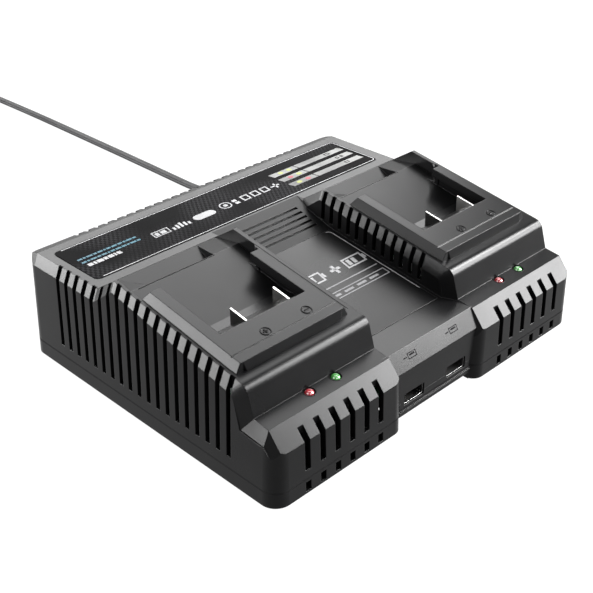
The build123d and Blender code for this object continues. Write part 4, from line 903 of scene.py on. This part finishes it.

# a plain graphic on the centre panel, and a painted highlight along the panel's right edge and
# rear corner
panelPrints = {
    "origin": (0.0, -0.0634, 0.0370),
    "tilt": math.atan2(0.0106, 0.0719),
    "thickness": 0.00005,
    # x, distance up the panel, wide, deep, lean, line
    "bars": [
        (-13.0, 46.0, 13.0, 7.4, 1.0, 1.0),
        (-5.2, 46.0, 1.4, 3.2, 0.0, 0.0),
        (-16.0, 46.0, 2.2, 4.2, 0.6, 0.0),
        (-12.6, 46.0, 2.2, 4.2, 0.6, 0.0),
        (2.8, 46.0, 6.4, 1.8, 0.0, 0.0),
        (2.8, 46.0, 1.8, 6.4, 0.0, 0.0),
        (15.4, 46.0, 13.0, 7.4, 1.0, 1.0),
        (23.0, 46.0, 1.2, 3.2, 0.0, 0.0),
        (12.4, 46.0, 2.2, 4.2, 0.6, 0.0),
        (15.8, 46.0, 2.2, 4.2, 0.6, 0.0),
    ],
    # painted highlight: a pale line along the panel's right edge, turning at its rear corner
    "highlightBars": [(24.7, 40.0, 0.4, 58.0, 0.0, 0.0)],
    # x, distance up the panel, radius, line
    "highlightCorner": (22.3, 69.0, 2.6, 0.4),
    "greyBars": [
        (2.4, 37.0, 41.0, 0.7, 0.0, 0.0),
        (2.4, 30.6, 41.0, 5.0, 0.0, 0.6),
        (-12.0, 30.6, 6.0, 1.4, 0.0, 0.0),
        (-3.4, 30.6, 6.0, 1.4, 0.0, 0.0),
        (5.2, 30.6, 6.0, 1.4, 0.0, 0.0),
        (13.8, 30.6, 6.0, 1.4, 0.0, 0.0),
    ],
}


def layOnPanel(name, tiles, finish):
    thickness, place = panelPrints["thickness"], panelPrints["origin"]
    layPrint(name, tiles, finish, thickness, place, panelPrints["tilt"])


layOnPanel("panelWhiteMarks", barTiles(panelPrints["bars"]), "whiteInk")
layOnPanel("panelGreyMarks", barTiles(panelPrints["greyBars"]), "greyInk")
# pale line that stands in for the highlight on the panel's edge, painted on
highlightTiles = barTiles(panelPrints["highlightBars"])
highlightTiles.append(cornerTile(*(size * mm for size in panelPrints["highlightCorner"]), 1))
layOnPanel("panelEdgeHighlight", highlightTiles, "silverInkAndHighlight")

# a small mark over each of the two sockets
portPrints = {
    "origin": (0.0, -0.0841, 0.0279),
    "tilt": math.atan2(0.0085, 0.0053),
    "thickness": 0.00005,
    "middles": (-14.4, 14.6),
    "up": 5.4,
    # x, y, wide, deep, lean, line
    "shape": [
        (0.0, 0.0, 5.6, 2.9, 0.0, 0.35),
        (0.0, 0.35, 3.4, 0.7, 0.0, 0.0),
        (-4.6, 0.0, 2.4, 0.45, 0.0, 0.0),
    ],
}
portRows = [
    (middle + x, portPrints["up"] + y, wide, deep, lean, line)
    for middle in portPrints["middles"]
    for x, y, wide, deep, lean, line in portPrints["shape"]
]
layPrint(
    "portMarks",
    barTiles(portRows),
    "darkInk",
    portPrints["thickness"],
    portPrints["origin"],
    portPrints["tilt"],
)
print("stage 5: panel and port marks printed")

# four contact strips on each socket's tongue
contactSetup = {
    "count": 4,
    "pitch": 2.4,
    "wide": 1.1,
    "long": 7.0,
    "start": 0.5,
    "thickness": 0.00012,
}


def makeContacts(side):
    low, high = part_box(side + "_usb_tongue")
    wide, long, thickness = (contactSetup[size] for size in ("wide", "long", "thickness"))
    y = (contactSetup["start"] + long / 2) * mm
    tiles = []
    for index in range(contactSetup["count"]):
        x = (index - (contactSetup["count"] - 1) / 2) * contactSetup["pitch"] * mm
        tiles.append(addTile("bar", x, y, wide * mm, long * mm))
    place = ((low.x + high.x) / 2, low.y, low.z - thickness)
    layPrint(side + "UsbContacts", tiles, "clipBrass", thickness, place)


for side in ("left", "right"):
    makeContacts(side)

# thin collar round each light
ringSetup = {
    "outer": 3.1,
    "inner": 2.7,
    "thickness": 0.00012,
    "rise": math.atan2(1.2, 8.5),
    "shelfFront": (-0.0797, 0.0362),
}


def makeLightRing(node, name):
    low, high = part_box(node)
    x, y = (low.x + high.x) / 2, (low.y + high.y) / 2
    rise, thickness = ringSetup["rise"], ringSetup["thickness"]
    frontY, frontZ = ringSetup["shelfFront"]
    z = frontZ + (y - frontY) * math.tan(rise)
    across = 2 * ringSetup["outer"] * mm
    line = (ringSetup["outer"] - ringSetup["inner"]) * mm
    tile = addTile("disc", 0.0, 0.0, across, across, 0.0, line)
    layPrint(name, [tile], "terminalPlastic", thickness, (x, y, z), rise)


for side in ("left", "right"):
    for colour in ("red", "green"):
        ringName = side + colour.capitalize() + "LightRing"
        makeLightRing(side + "_" + colour + "_light", ringName)
print("stage 6: contacts and light collars made")

# studio: a floor that glows white, a white world and soft lights
studio = {
    "white": (1.0, 1.0, 1.0, 1.0),
    "floorSize": 60.0,
    "floorColour": (0.035, 0.035, 0.035, 1.0),
    "floorRoughness": 0.9,
    "floorSpecular": 0.1,
    "floorGlow": 0.97,
    "worldStrength": 0.40,
    "aim": (0.0, 0.0, 0.03),
    "lights": {
        "keyLight": {"place": (0.98, -0.87, 0.70), "size": (0.62, 0.90), "power": 115.0},
        "ridgeLight": {"place": (1.05, -0.48, 0.96), "size": (0.40, 0.30), "power": 50.0},
        "rearLight": {"place": (0.52, 0.88, 1.04), "size": (1.5, 1.3), "power": 66.0},
        "sideStrip": {"place": (-1.00, 0.92, 0.20), "size": (1.2, 0.30), "power": 66.0},
        "topLight": {"place": (-0.1, 0.1, 1.5), "size": (1.2, 1.2), "power": 3.0},
        "leftSoft": {"place": (-1.30, 0.10, 1.10), "size": (1.2, 1.2), "power": 36.0},
        "frontSoft": {"place": (-0.10, -1.40, 1.00), "size": (1.2, 1.0), "power": 30.0},
    },
}


def addFloor():
    bpy.ops.mesh.primitive_plane_add(size=studio["floorSize"], location=(0.0, 0.0, 0.0))
    floor = bpy.context.object
    floor.name = "studioFloor"
    material = bpy.data.materials.new("floorPaint")
    material.use_nodes = True
    shader = material.node_tree.nodes["Principled BSDF"]
    shader.inputs["Base Color"].default_value = studio["floorColour"]
    shader.inputs["Roughness"].default_value = studio["floorRoughness"]
    shader.inputs["Specular IOR Level"].default_value = studio["floorSpecular"]
    shader.inputs["Emission Color"].default_value = studio["white"]
    shader.inputs["Emission Strength"].default_value = studio["floorGlow"]
    floor.data.materials.append(material)


def addLights():
    aim = Vector(studio["aim"])
    for name, setup in studio["lights"].items():
        bpy.ops.object.light_add(type="AREA", location=setup["place"])
        light = bpy.context.object
        light.name = name
        light.data.shape = "RECTANGLE"
        light.data.size, light.data.size_y = setup["size"]
        light.data.energy = setup["power"]
        gaze = aim - Vector(setup["place"])
        light.rotation_euler = gaze.to_track_quat("-Z", "Y").to_euler()
    world = bpy.data.worlds.new("studioWorld")
    world.use_nodes = True
    backdrop = world.node_tree.nodes["Background"]
    backdrop.inputs["Color"].default_value = studio["white"]
    backdrop.inputs["Strength"].default_value = studio["worldStrength"]
    bpy.context.scene.world = world
    bpy.context.scene.view_settings.view_transform = "Standard"


addFloor()
addLights()
print("stage 7: studio set")
